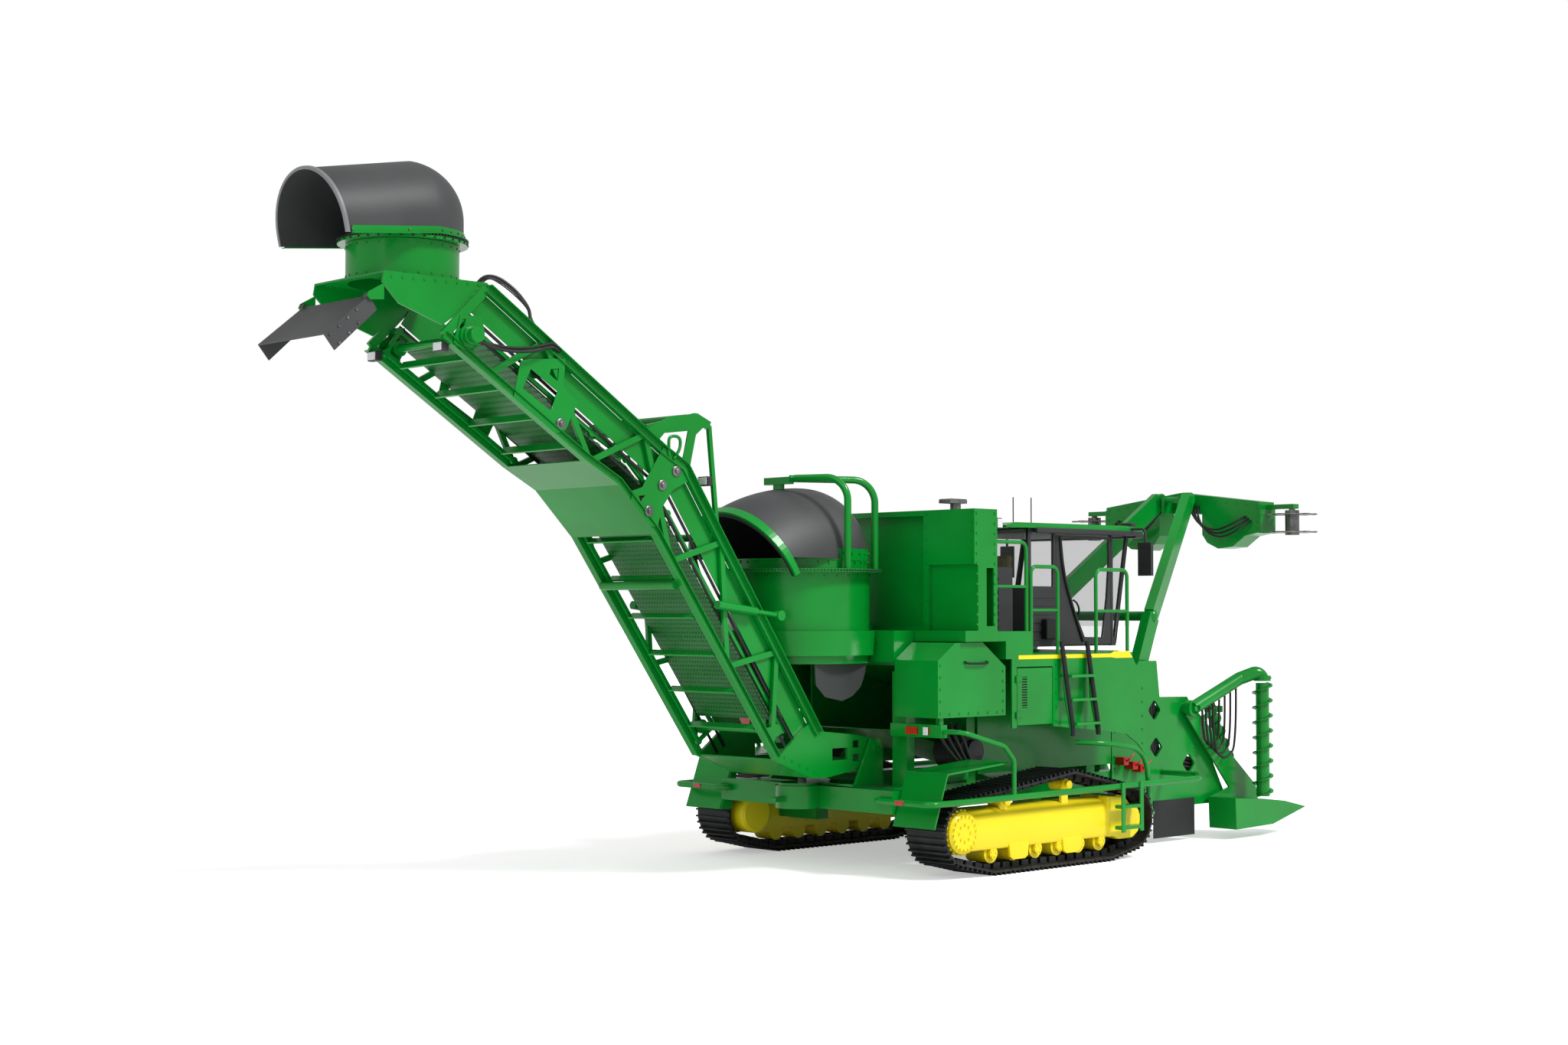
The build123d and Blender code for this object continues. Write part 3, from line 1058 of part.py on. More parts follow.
for side, s in SIDES:
    arm = (s * 1190, s * 1280)
    wall = (s * 1190, s * 1215)
    with BuildPart() as divider:
        tube([(DIVIDER_PIVOT[0], s * 1260, DIVIDER_PIVOT[1]), (5950, s * 1340, 2000),
              (DIVIDER_HEAD[0], s * SCROLL_Y, DIVIDER_HEAD[1]), (DIVIDER_HEAD[0], s * SCROLL_Y, 1970)],
             95, 85)
        disc(*DIVIDER_PIVOT, 100, arm)
        post(DIVIDER_HEAD[0], s * SCROLL_Y, 110, (1970, 2040))
        across([(5000, 1560), (5180, 1640), (6480, 620), (6560, 330), (5560, 330), (5480, 520), (5900, 620)],
               wall)
        across([(5480, 520), (5500, 130), (6300, 150), (7040, 330), (6560, 430), (6120, 480)],
               (s * 1190, s * 1600))
        disc(*DIVIDER_PIVOT, 40 + PIN_FIT, (s * 1170, s * 1360), Mode.SUBTRACT)
        post(DIVIDER_HEAD[0], s * SCROLL_Y, 40 + PIN_FIT, (1960, 2040), Mode.SUBTRACT)
        post(DIVIDER_HEAD[0], s * SCROLL_Y, 40 + PIN_FIT, (400, 500), Mode.SUBTRACT)
        for start, end in ((-BOSS - 10, -10), (INNER_LENGTH + 10, INNER_LENGTH + 10 + BOSS)):
            inner_rod(s, start, end, 80)
            x, y, z = inner_axis(s, (start + end) / 2)
            slab((x - 40, x + 40), (y, wall[1]), (z - 40, z + 40))
        bar((5330, 1500), (5720, 1640), 60, wall)
        inner_rod(s, -BOSS - 20, INNER_LENGTH + BOSS + 20, 35 + PIN_FIT, Mode.SUBTRACT)
    save(divider, f"divider_{side}")

    with BuildPart() as inner_scroll:
        inner_rod(s, 0, INNER_LENGTH, 105)
        inner_rod(s, -BOSS, INNER_LENGTH + BOSS, 35)
    save(inner_scroll, f"inner_scroll_{side}")

    with BuildPart() as outer_scroll:
        post(DIVIDER_HEAD[0], s * SCROLL_Y, SCROLL_FLIGHT, (490, 1960))
        post(DIVIDER_HEAD[0], s * SCROLL_Y, 40, (420, 2030))
    save(outer_scroll, f"outer_scroll_{side}")
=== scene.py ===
# %% [markdown]
# # A tracked sugarcane harvester
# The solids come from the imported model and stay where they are. This file dresses them: it sets the
# camera and the light, gives every surface a finish, and adds the small pieces that sit on the solids.

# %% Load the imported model
from math import cos, pi, radians, sin, sqrt

import bmesh
import bpy
from mathutils import Matrix, Vector
from mathutils.geometry import normal


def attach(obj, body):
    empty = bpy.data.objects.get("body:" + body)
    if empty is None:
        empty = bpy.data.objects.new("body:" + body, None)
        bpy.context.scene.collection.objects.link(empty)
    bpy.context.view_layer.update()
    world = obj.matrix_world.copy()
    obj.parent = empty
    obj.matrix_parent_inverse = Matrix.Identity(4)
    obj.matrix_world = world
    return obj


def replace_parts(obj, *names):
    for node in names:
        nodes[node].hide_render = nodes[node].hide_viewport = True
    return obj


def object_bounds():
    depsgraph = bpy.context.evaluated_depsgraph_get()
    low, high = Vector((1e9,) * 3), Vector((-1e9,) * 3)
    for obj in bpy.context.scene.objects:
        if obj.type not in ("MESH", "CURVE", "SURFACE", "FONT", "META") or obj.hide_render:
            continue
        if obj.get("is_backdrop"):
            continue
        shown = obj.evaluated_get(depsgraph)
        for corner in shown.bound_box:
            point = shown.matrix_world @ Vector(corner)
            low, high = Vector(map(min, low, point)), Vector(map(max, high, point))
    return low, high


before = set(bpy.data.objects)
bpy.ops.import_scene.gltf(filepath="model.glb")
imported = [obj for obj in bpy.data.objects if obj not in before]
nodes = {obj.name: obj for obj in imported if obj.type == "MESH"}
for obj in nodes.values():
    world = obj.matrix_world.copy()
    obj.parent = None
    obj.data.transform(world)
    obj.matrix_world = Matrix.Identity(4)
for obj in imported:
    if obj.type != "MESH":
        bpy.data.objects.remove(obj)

scene = bpy.context.scene
cad_box = [list(corner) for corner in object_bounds()]
print("solids:", len(nodes), "box:", cad_box)

# %% [markdown]
# The picture was taken with a long lens from the right rear, at about standing height. A camera at
# the same place with the same angle of view gives the same perspective, so no shift is needed.

# %% Camera
camera = bpy.data.objects.new("camera", bpy.data.cameras.new("camera"))
camera.data.lens = 50.8
camera.data.sensor_width = 36.0
camera.data.clip_end = 500
camera.location = (-17.788, -17.84, 2.875)
camera.rotation_euler = (radians(92.27), 0, radians(-43.6))
scene.collection.objects.link(camera)
scene.camera = camera
scene.view_settings.view_transform = "Standard"

# %% [markdown]
# Finishes are node materials. One function adds a node, sets its values and links its inputs, and
# another turns the usual hex colours into the linear numbers that the shader works with.


# %% Colour and node helpers
def linear(hex_colour):
    """sRGB hex to linear RGBA."""
    parts = [int(hex_colour[i:i + 2], 16) / 255 for i in (1, 3, 5)]
    return tuple(c / 12.92 if c <= 0.04045 else ((c + 0.055) / 1.055) ** 2.4 for c in parts) + (1,)


def node(tree, kind, links=None, **settings):
    """Add a node; links maps an input to a value or to another node's socket."""
    made = tree.nodes.new(kind)
    for key, value in settings.items():
        setattr(made, key, value)
    for key, value in (links or {}).items():
        if isinstance(value, bpy.types.NodeSocket):
            tree.links.new(value, made.inputs[key])
        else:
            made.inputs[key].default_value = value
    return made


def start(name, values):
    """A material with its shader, output and object coordinates; values are the shader's constants."""
    made = bpy.data.materials.new(name)
    made.use_nodes = True
    tree = made.node_tree
    tree.nodes.clear()
    shader = node(tree, "ShaderNodeBsdfPrincipled", values)
    node(tree, "ShaderNodeOutputMaterial", {"Surface": shader.outputs[0]})
    place = node(tree, "ShaderNodeTexCoord").outputs["Object"]
    return made, tree, shader, place


def tones(tree, factor, low, high):
    """Two colours blended by a factor between a low and a high value."""
    ramp = node(tree, "ShaderNodeValToRGB", {"Fac": factor})
    ramp.color_ramp.elements[0].position, ramp.color_ramp.elements[1].position = low[0], high[0]
    ramp.color_ramp.elements[0].color, ramp.color_ramp.elements[1].color = linear(low[1]), linear(high[1])
    return ramp.outputs[0]


def noise(tree, place, scale, detail=2.0):
    """Soft noise of a scale, as a value."""
    return node(tree, "ShaderNodeTexNoise", {"Vector": place, "Scale": scale, "Detail": detail}).outputs[0]


def sums(tree, operation, first, second):
    """A sum of two values or sockets."""
    return node(tree, "ShaderNodeMath", {0: first, 1: second}, operation=operation).outputs[0]


def coloured(tree, shader, factor, low, high):
    """Blend the base colour by a factor."""
    tree.links.new(tones(tree, factor, low, high), shader.inputs["Base Color"])


def bumped(tree, shader, height, strength, distance):
    """Raise the surface by a height."""
    bump = node(tree, "ShaderNodeBump", {"Height": height, "Strength": strength, "Distance": distance})
    tree.links.new(bump.outputs[0], shader.inputs["Normal"])


def ranged(tree, shader, value, low, high):
    """Let the roughness follow a value between two limits."""
    film = node(tree, "ShaderNodeMapRange", {"Value": value, "To Min": low, "To Max": high})
    tree.links.new(film.outputs[0], shader.inputs["Roughness"])


# %% [markdown]
# The panels and beams are steel sprayed with gloss enamel. It has a clear skin, faint clouding from
# panel to panel and a fine orange peel, drawn here ten times coarser than the real 2 mm so it shows.


# %% Sprayed enamel
def enamel(name, shade, light, rough, coat):
    skin_values = {"IOR": 1.5, "Specular IOR Level": 0.32, "Coat Weight": coat, "Coat Roughness": 0.12}
    made, tree, shader, place = start(name, skin_values)
    cloud = noise(tree, place, 0.9, 3.0)
    coloured(tree, shader, cloud, (0.35, shade), (0.7, light))
    bumped(tree, shader, noise(tree, place, 50.0), 0.03, 0.01)
    ranged(tree, shader, cloud, rough - 0.05, rough + 0.07)
    return made


GREEN = enamel("green_gloss_enamel", "#008024", "#00902f", 0.24, 0.15)
YELLOW = enamel("yellow_gloss_enamel", "#f4dc10", "#f8e422", 0.36, 0.15)
BLACK = enamel("black_satin_enamel", "#141516", "#1d1e20", 0.5, 0.1)
DARK_STEEL = enamel("dark_grey_enamel", "#2b2d2e", "#36383a", 0.45, 0.2)
RED = enamel("red_gloss_enamel", "#a80f10", "#c41a17", 0.35, 0.4)

# %% [markdown]
# The hoods and the bin flap are moulded polyethylene, dark grey and matte, with a fine grain from the
# mould. The cab's trim, the rubber flaps and the hoses differ in shade and grain only.


# %% Moulded plastic and rubber
def moulded(name, shade, light, rough, grain):
    made, tree, shader, place = start(name, {"IOR": 1.5})
    coloured(tree, shader, noise(tree, place, 1.4, 4.0), (0.35, shade), (0.7, light))
    pebble = noise(tree, place, grain, 3.0)
    bumped(tree, shader, pebble, 0.12, 0.004)
    ranged(tree, shader, pebble, rough - 0.08, rough + 0.08)
    return made


HOOD_PLASTIC = moulded("moulded_polyethylene", "#373839", "#414243", 0.5, 180.0)
HOOD_RIM = moulded("rolled_polyethylene_edge", "#77787a", "#86878a", 0.42, 180.0)
TRIM_PLASTIC = moulded("moulded_trim_plastic", "#232426", "#2c2d2f", 0.5, 220.0)
LINER = moulded("grey_headliner_plastic", "#6b6c6c", "#787979", 0.6, 90.0)
RUBBER = moulded("moulded_rubber", "#1a1a1b", "#242425", 0.6, 120.0)
HOSE = moulded("hydraulic_hose_rubber", "#121213", "#1b1b1c", 0.42, 260.0)

# %% [markdown]
# Steel that runs or rubs, such as cutter discs, topper drums and pin heads, is worn bright. The floor of
# the elevator is punched sheet; its 20 mm holes are drawn on a 45 mm grid so that they show, and their
# dark colour is painted shade, the dark seen through the openings.


# %% Worn and punched steel
def steel(name, shade, light, rough, metal=0.9):
    made, tree, shader, place = start(name, {"Metallic": metal})
    rub = noise(tree, place, 6.0, 6.0)
    coloured(tree, shader, rub, (0.3, shade), (0.75, light))
    ranged(tree, shader, rub, rough - 0.1, rough + 0.12)
    return made


WORN_STEEL = steel("worn_rolled_steel", "#5c5d5c", "#9a9a97", 0.4)
TRACK_STEEL = steel("track_shoe_steel", "#1f2022", "#353637", 0.45, 0.5)
CAST = steel("rough_cast_iron", "#2a2a2a", "#3d3d3c", 0.65, 0.4)


def punched(name, shade, light, hole_shade):
    made, tree, shader, place = start(name, {"Roughness": 0.42})
    turned = node(tree, "ShaderNodeMapping", {"Vector": place, "Rotation": (radians(90), 0, 0)})
    split = node(tree, "ShaderNodeSeparateXYZ", {"Vector": place})
    flat = node(tree, "ShaderNodeCombineXYZ", {"X": split.outputs["Y"], "Y": split.outputs["Z"]})
    dots = node(tree, "ShaderNodeTexVoronoi", {"Vector": flat.outputs[0], "Scale": 22.0, "Randomness": 0.0},
                voronoi_dimensions="2D")
    ring = node(tree, "ShaderNodeMapRange",
                {"Value": dots.outputs["Distance"], "From Min": 0.22, "From Max": 0.3})
    paint = tones(tree, noise(tree, turned.outputs[0], 1.2), (0.3, shade), (0.7, light))
    # The hole colour is painted shade: the dark seen through the openings.
    mix = node(tree, "ShaderNodeMix", {"Factor": ring.outputs[0]}, data_type="RGBA")
    mix.inputs[6].default_value = linear(hole_shade)
    tree.links.new(paint, mix.inputs[7])
    tree.links.new(mix.outputs[2], shader.inputs["Base Color"])
    bumped(tree, shader, ring.outputs[0], 0.4, 0.006)
    return made


PUNCHED = punched("punched_green_sheet", "#00691e", "#037825", "#02240c")

# %% [markdown]
# The cab is glazed with clear safety glass that has a faint grey tint. Lamp lenses are ribbed
# acrylic, and the seat is a woven beige cloth.


# %% Glass, lenses and cloth
def glazing(name, tint, rough, alpha):
    made, tree, shader, place = start(name, {"Base Color": linear(tint), "IOR": 1.45, "Alpha": alpha})
    ranged(tree, shader, noise(tree, place, 3.0, 4.0), rough, rough + 0.04)
    return made


def lens(name, shade, light):
    made, tree, shader, place = start(name, {"Roughness": 0.15, "Coat Weight": 0.8})
    ribs = node(tree, "ShaderNodeTexWave", {"Vector": place, "Scale": 30.0}, bands_direction="Z")
    coloured(tree, shader, ribs.outputs[1], (0.2, shade), (0.8, light))
    bumped(tree, shader, ribs.outputs[1], 0.3, 0.004)
    return made


def woven(name, shade, light):
    made, tree, shader, place = start(name, {"Roughness": 0.85, "Sheen Weight": 0.2})
    warp = node(tree, "ShaderNodeTexWave", {"Vector": place, "Scale": 60.0}, bands_direction="X")
    weft = node(tree, "ShaderNodeTexWave", {"Vector": place, "Scale": 60.0}, bands_direction="Z")
    cross = sums(tree, "MULTIPLY", warp.outputs[1], weft.outputs[1])
    coloured(tree, shader, cross, (0.1, shade), (0.8, light))
    bumped(tree, shader, cross, 0.25, 0.003)
    return made


GLASS = glazing("tinted_safety_glass", "#2c3432", 0.03, 0.14)
RED_LENS = lens("red_acrylic_lens", "#8e0d0d", "#d21a17")
CLEAR_LENS = lens("clear_acrylic_lens", "#c9cdce", "#f2f4f4")
CLOTH = woven("woven_seat_cloth", "#8e7d63", "#b7a788")

# %% [markdown]
# Every solid wears one finish, and those not listed are green. Each finish is also listed under one slot.

# %% Finishes and slots
FINISHES = {
    YELLOW: ["track_frames", "track_rollers"],
    TRACK_STEEL: ["track_left", "track_right"],
    HOOD_PLASTIC: ["primary_hood", "secondary_hood", "bin_flap", "rear_chute"],
    TRIM_PLASTIC: ["cab_frame", "cab_door", "mirrors", "console", "engine_cover"],
    RUBBER: ["front_flaps"],
    BLACK: ["primary_fan", "secondary_fan"],
    PUNCHED: ["elevator_panels"],
    WORN_STEEL: ["base_cutter_left", "base_cutter_right", "topper_drum_left", "topper_drum_right", "exhaust"],
    CAST: ["engine"],
    GLASS: ["cab_glass", "cab_door_glass"],
    RED_LENS: ["tail_lamps"],
    CLOTH: ["seat"],
}
SLOTS = {
    "green_paint": [GREEN],
    "yellow_paint": [YELLOW],
    "black_paint": [BLACK, DARK_STEEL, HOSE],
    "red_lens": [RED, RED_LENS],
    "dark_plastic": [HOOD_PLASTIC, HOOD_RIM, TRIM_PLASTIC, LINER],
    "track_rubber": [RUBBER, TRACK_STEEL],
    "worn_steel": [WORN_STEEL],
    "cab_glass": [GLASS, CLEAR_LENS],
    "seat_cloth": [CLOTH],
}
slot_of = {finish: slot for slot, finishes in SLOTS.items() for finish in finishes}
finish_of = {name: finish for finish, names in FINISHES.items() for name in names}
for name, solid in nodes.items():
    solid.data.materials.clear()
    solid.data.materials.append(finish_of.get(name, GREEN))
print("finishes:", len(FINISHES) + 1)

# %% [markdown]
# Many small pieces repeat: bolt heads, ring teeth, track shoes. A node tree puts one shape on a list of
# points and turns it to face outwards. The result becomes a plain mesh, so nothing live is left.


# %% Helpers for pieces
SIDES = (("left", 1), ("right", -1))
UP = (0, 0, 1)
SHARP = 35                               # degrees between faces beyond which an edge stays sharp
HOOD_X, TUNNEL_X = -0.58, -5.86          # where the large and the small hood turn
HUB_X, HUB_Z = 0.02, 0.49                # the drive wheel's axle
IDLER_X, IDLER_Z = 2.92, 0.47            # the front wheel's axle
CHORD_Y, PLATE_Y = 0.6405, 0.6525        # just outside the elevator's chords, and outside the plates on them
MERGE = 0.0002                           # points closer than this become one


def placed(name, data):
    """A new object in the scene."""
    made = bpy.data.objects.new(name, data)
    scene.collection.objects.link(made)
    return made


def baked(holder):
    """The mesh that an object shows; the object itself goes."""
    graph = bpy.context.evaluated_depsgraph_get()
    mesh = bpy.data.meshes.new_from_object(holder.evaluated_get(graph))
    bpy.data.objects.remove(holder)
    return mesh


def soften(mesh, sharp=None):
    """Smooth faces, with edges kept sharp beyond an angle."""
    for face in mesh.polygons:
        face.use_smooth = True
    if sharp:
        mesh.set_sharp_from_angle(angle=radians(sharp))
    return mesh


def piece(name, mesh, finish, body="chassis", slot=None):
    """A finished mesh object on a body; the slot is not used."""
    made = placed(name, mesh)
    mesh.materials.clear()
    mesh.materials.append(finish)
    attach(made, body)
    slot or slot_of[finish]
    return made


def skin(form, rows, around=False):
    """Faces between rows of points; around joins each row's last point to its first."""
    for a, b in zip(rows, rows[1:]):
        for k in range(len(a) if around else len(a) - 1):
            form.faces.new((a[k], a[(k + 1) % len(a)], b[(k + 1) % len(a)], b[k]))


def pulled(corners, way):
    """A flat face from its corners, pulled out into a closed form."""
    form = bmesh.new()
    face = form.faces.new([form.verts.new(corner) for corner in corners])
    grown = bmesh.ops.extrude_face_region(form, geom=[face])
    bmesh.ops.translate(form, verts=[v for v in grown["geom"] if isinstance(v, bmesh.types.BMVert)], vec=way)
    bmesh.ops.recalc_face_normals(form, faces=form.faces)
    return form


def as_mesh(form, name):
    """The mesh of a form, which is then let go."""
    mesh = bpy.data.meshes.new(name)
    form.to_mesh(mesh)
    form.free()
    return mesh


def finished(form, name, finish, body="chassis", slot=None, smooth=False):
    """Close a form: merge, turn its faces outwards and make it a piece."""
    bmesh.ops.remove_doubles(form, verts=form.verts, dist=MERGE)
    bmesh.ops.recalc_face_normals(form, faces=form.faces)
    mesh = as_mesh(form, name)
    return piece(name, soften(mesh, SHARP) if smooth else mesh, finish, body, slot)


def swept(name, rows, finish, body="chassis", loop=False, smooth=False):
    """A piece from rows of points, each a closed section; a face caps each end, unless they form a loop."""
    form = bmesh.new()
    rows = [[form.verts.new(point) for point in row] for row in rows]
    skin(form, rows + rows[:1] if loop else rows, True)
    if not loop:
        form.faces.new(rows[0])
        form.faces.new(rows[-1])
    return finished(form, name, finish, body, smooth=smooth)


def from_tree(name, source, tree, values):
    """Run a node tree on a mesh and keep what it makes as a plain mesh."""
    holder = placed(name + "_source", source)
    modifier = holder.modifiers.new("tree", "NODES")
    modifier.node_group = tree
    sockets = {item.name: item.identifier for item in tree.interface.items_tree if item.in_out == "INPUT"}
    for key, value in values.items():
        modifier[sockets[key]] = value
    graph = bpy.context.evaluated_depsgraph_get()
    made = bpy.data.meshes.new_from_object(holder.evaluated_get(graph), preserve_all_data_layers=True,
        depsgraph=graph)
    holder.modifiers.remove(modifier)
    bpy.data.objects.remove(holder)
    made.name = name
    return made


def new_tree(name, values):
    """A geometry tree with a geometry input, named number inputs, a finish and a geometry output."""
    made = bpy.data.node_groups.new(name, "GeometryNodeTree")
    made.interface.new_socket("Geometry", in_out="INPUT", socket_type="NodeSocketGeometry")
    for key, value in values.items():
        kind = "NodeSocketInt" if isinstance(value, int) else "NodeSocketFloat"
        made.interface.new_socket(key, in_out="INPUT", socket_type=kind).default_value = value
    made.interface.new_socket("Finish", in_out="INPUT", socket_type="NodeSocketMaterial")
    made.interface.new_socket("Geometry", in_out="OUTPUT", socket_type="NodeSocketGeometry")
    return made, made.nodes.new("NodeGroupInput")


def close_tree(tree, entry, geometry):
    """Realize, set the finish and send the result out."""
    solid = node(tree, "GeometryNodeRealizeInstances", {"Geometry": geometry})
    painted = node(tree, "GeometryNodeSetMaterial", {"Geometry": solid.outputs[0],
                   "Material": entry.outputs["Finish"]})
    node(tree, "NodeGroupOutput", {"Geometry": painted.outputs[0]})


def scatter(tree, entry, shape, **turning):
    """Put a shape on every point, turned to face the way that the point says."""
    facing = node(tree, "GeometryNodeInputNamedAttribute", {"Name": "facing"}, data_type="FLOAT_VECTOR")
    turn = node(tree, "FunctionNodeAlignRotationToVector", {"Vector": facing.outputs[0]}, axis="Z", **turning)
    spread = node(tree, "GeometryNodeInstanceOnPoints", {"Points": entry.outputs["Geometry"],
                  "Instance": shape, "Rotation": turn.outputs[0]})
    close_tree(tree, entry, spread.outputs[0])


def facing_points(name, spots):
    """A mesh of bare points from spots, each a point and the way it faces."""
    points = bpy.data.meshes.new(name + "_points")
    points.from_pydata([spot for spot, way in spots], [], [])
    ways = points.attributes.new("facing", "FLOAT_VECTOR", "POINT")
    for item, (spot, way) in zip(ways.data, spots):
        item.vector = way
    return points


bolt_tree, entry = new_tree("bolt_heads", {"Radius": 0.015, "Height": 0.012, "Sides": 6})
value = entry.outputs
head = node(bolt_tree, "GeometryNodeMeshCylinder",
            {"Vertices": value["Sides"], "Radius": value["Radius"], "Depth": value["Height"]})
scatter(bolt_tree, entry, head.outputs["Mesh"])


def bolts(name, spots, body, finish, radius, height, sides=6):
    """Bolt heads at spots, each a point and the way it faces."""
    values = {"Radius": radius, "Height": height, "Sides": sides, "Finish": finish}
    return piece(name, from_tree(name, facing_points(name, spots), bolt_tree, values), finish, body)


def ring_spots(centre, radius, count, axis, radial=False):
    """Points round a circle, facing along its axis or outwards."""
    axis = Vector(axis).normalized()
    side = axis.orthogonal().normalized()
    other = axis.cross(side)
    spots = []
    for i in range(count):
        way = side * cos(2 * pi * i / count) + other * sin(2 * pi * i / count)
        spots.append((Vector(centre) + way * radius, way if radial else axis))
    return spots


def line_spots(start_point, end_point, count, way):
    """Evenly spaced points on a line, all facing one way."""
    a, b = Vector(start_point), Vector(end_point)
    return [(a.lerp(b, i / (count - 1)), Vector(way)) for i in range(count)]


# %% [markdown]
# The scrolls lift fallen cane. Each is a tube with a flat strip wound round it. A spiral curve swept
# with a thin rectangle gives the strip, and the same tree adds the tube, so core and flight match.

# %% Scroll flights
scroll_tree, entry = new_tree("wound_flight", {"Length": 1.0, "Core": 0.07, "Flight": 0.13, "Turns": 8.0})
value = entry.outputs
middle = sums(scroll_tree, "MULTIPLY", sums(scroll_tree, "ADD", value["Core"], value["Flight"]), 0.5)
depth = sums(scroll_tree, "SUBTRACT", value["Flight"], value["Core"])
spiral = node(scroll_tree, "GeometryNodeCurveSpiral",
              {"Resolution": 28, "Rotations": value["Turns"], "Start Radius": middle, "End Radius": middle,
               "Height": value["Length"]})
upright = node(scroll_tree, "GeometryNodeSetCurveNormal", {"Curve": spiral.outputs[0]}, mode="Z_UP")
strip = node(scroll_tree, "GeometryNodeCurvePrimitiveQuadrilateral", {"Width": depth, "Height": 0.014})
flight = node(scroll_tree, "GeometryNodeCurveToMesh",
              {"Curve": upright.outputs[0], "Profile Curve": strip.outputs[0], "Fill Caps": True})
rod = node(scroll_tree, "GeometryNodeMeshCylinder",
           {"Vertices": 40, "Radius": value["Core"], "Depth": value["Length"]})
raised = node(scroll_tree, "ShaderNodeCombineXYZ", {"Z": sums(scroll_tree, "MULTIPLY", value["Length"], 0.5)})
core = node(scroll_tree, "GeometryNodeTransform",
            {"Geometry": rod.outputs["Mesh"], "Translation": raised.outputs[0]})
joined = node(scroll_tree, "GeometryNodeJoinGeometry")
scroll_tree.links.new(flight.outputs[0], joined.inputs[0])
scroll_tree.links.new(core.outputs[0], joined.inputs[0])
close_tree(scroll_tree, entry, joined.outputs[0])

INNER_SCROLL = (Vector((6.35, 1.05, 0.47)), Vector((5.76, 1.05, 1.56)))
OUTER_SCROLL = (Vector((6.23, 1.5, 0.49)), Vector((6.23, 1.5, 1.96)))
for kind, (foot, top), core_radius, flight_radius, turns in (("outer", OUTER_SCROLL, 0.085, 0.132, 7.5),
        ("inner", INNER_SCROLL, 0.065, 0.102, 6.5)):
    for side, s in SIDES:
        low, high = Vector((foot.x, s * foot.y, foot.z)), Vector((top.x, s * top.y, top.z))
        length = (high - low).length
        mesh = from_tree(f"{kind}_scroll_flight_{side}", bpy.data.meshes.new("empty"), scroll_tree,
                         {"Length": length - 0.03, "Core": core_radius, "Flight": flight_radius,
                         "Turns": turns, "Finish": GREEN})
        if s < 0:
            mesh.transform(Matrix.Scale(-1, 4, (0, 1, 0)))
            mesh.flip_normals()
        mesh.transform(Matrix.Translation(low + (high - low).normalized() * 0.015)
                       @ (high - low).to_track_quat("Z", "Y").to_matrix().to_4x4())
        made = piece(f"{kind}_scroll_flight_{side}", mesh, GREEN, f"{kind}_scroll_{side}")
        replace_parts(made, f"{kind}_scroll_{side}")
print("scrolls wound")

# %% [markdown]
# A yellow stripe runs along the edge of the deck and grows taller towards the front. It is a thin
# plate on the panel.

# %% Yellow stripe
STRIPE = [(1.2, 2.325), (2.86, 2.325), (2.95, 2.315), (3.27, 2.315), (3.2, 2.395), (2.92, 2.395),
          (2.86, 2.37), (1.2, 2.37)]


def plate(name, outline, y, thick, finish, body="chassis"):
    """Flat plate from a side-view outline (x, z), between y and y + thick."""
    return finished(pulled([(x, y, z) for x, z in outline], (0, thick, 0)), name, finish, body)


plate("stripe_right", STRIPE, -1.7, -0.006, YELLOW)
plate("stripe_left", STRIPE, 1.7, 0.006, YELLOW)

# %% [markdown]
# More helpers: a bent rail swept along a smooth curve, a block with rounded edges, and a hose. The
# hose is one smooth spline through a few points, and its own length is measured from that spline.


# %% Rails, blocks and hoses
def spline(name, points, radius):
    """A smooth open curve with a round section."""
    curve = bpy.data.curves.new(name, "CURVE")
    curve.dimensions = "3D"
    curve.bevel_depth = radius
    curve.bevel_resolution = 3
    curve.use_fill_caps = True
    line = curve.splines.new("NURBS")
    line.points.add(len(points) - 1)
    for spot, point in zip(line.points, points):
        spot.co = (*point, 1)
    line.order_u = 3
    line.use_endpoint_u = True
    return curve


def rail(name, points, radius, finish, body="chassis"):
    """A bent rod kept as a mesh."""
    return piece(name, soften(baked(placed(name, spline(name, points, radius)))), finish, body)


def hose(name, points, diameter, body):
    """A free hose that leaves the machine at its first point and goes back in at its last."""
    made = placed(name, spline(name, points, diameter / 2))
    made.data.materials.append(HOSE)
    path = baked(placed(name + "_path", spline(name + "_path", points, 0)))
    spots = path.vertices
    length = sum((spots[a].co - spots[b].co).length for a, b in (edge.vertices for edge in path.edges))
    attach(made, body)
    return length


def soft_edges(form, reach, segments=3):
    """Round all edges of a form."""
    bmesh.ops.bevel(form, geom=form.edges[:], offset=reach, segments=segments, affect="EDGES", profile=0.5)


def rounded_box(low, high, round_edge, segments=3, shrink=0.0):
    """The form of a box between two corners, drawn in a little where asked."""
    form = bmesh.new()
    bmesh.ops.create_cube(form, size=1)
    bmesh.ops.scale(form, verts=form.verts, vec=Vector(high) - Vector(low) - Vector((shrink, shrink, shrink)))
    soft_edges(form, round_edge, segments)
    bmesh.ops.translate(form, verts=form.verts, vec=(Vector(low) + Vector(high)) / 2)
    return form


def block(name, low, high, round_edge, finish, body="chassis", slot=None):
    """A box between two corners with rounded edges."""
    return finished(rounded_box(low, high, round_edge), name, finish, body, slot)


# %% [markdown]
# Bolt heads hold the panels, hoods and hubs. Each row is a ring or a line of them, and the rows on one
# body and in one finish become one mesh.

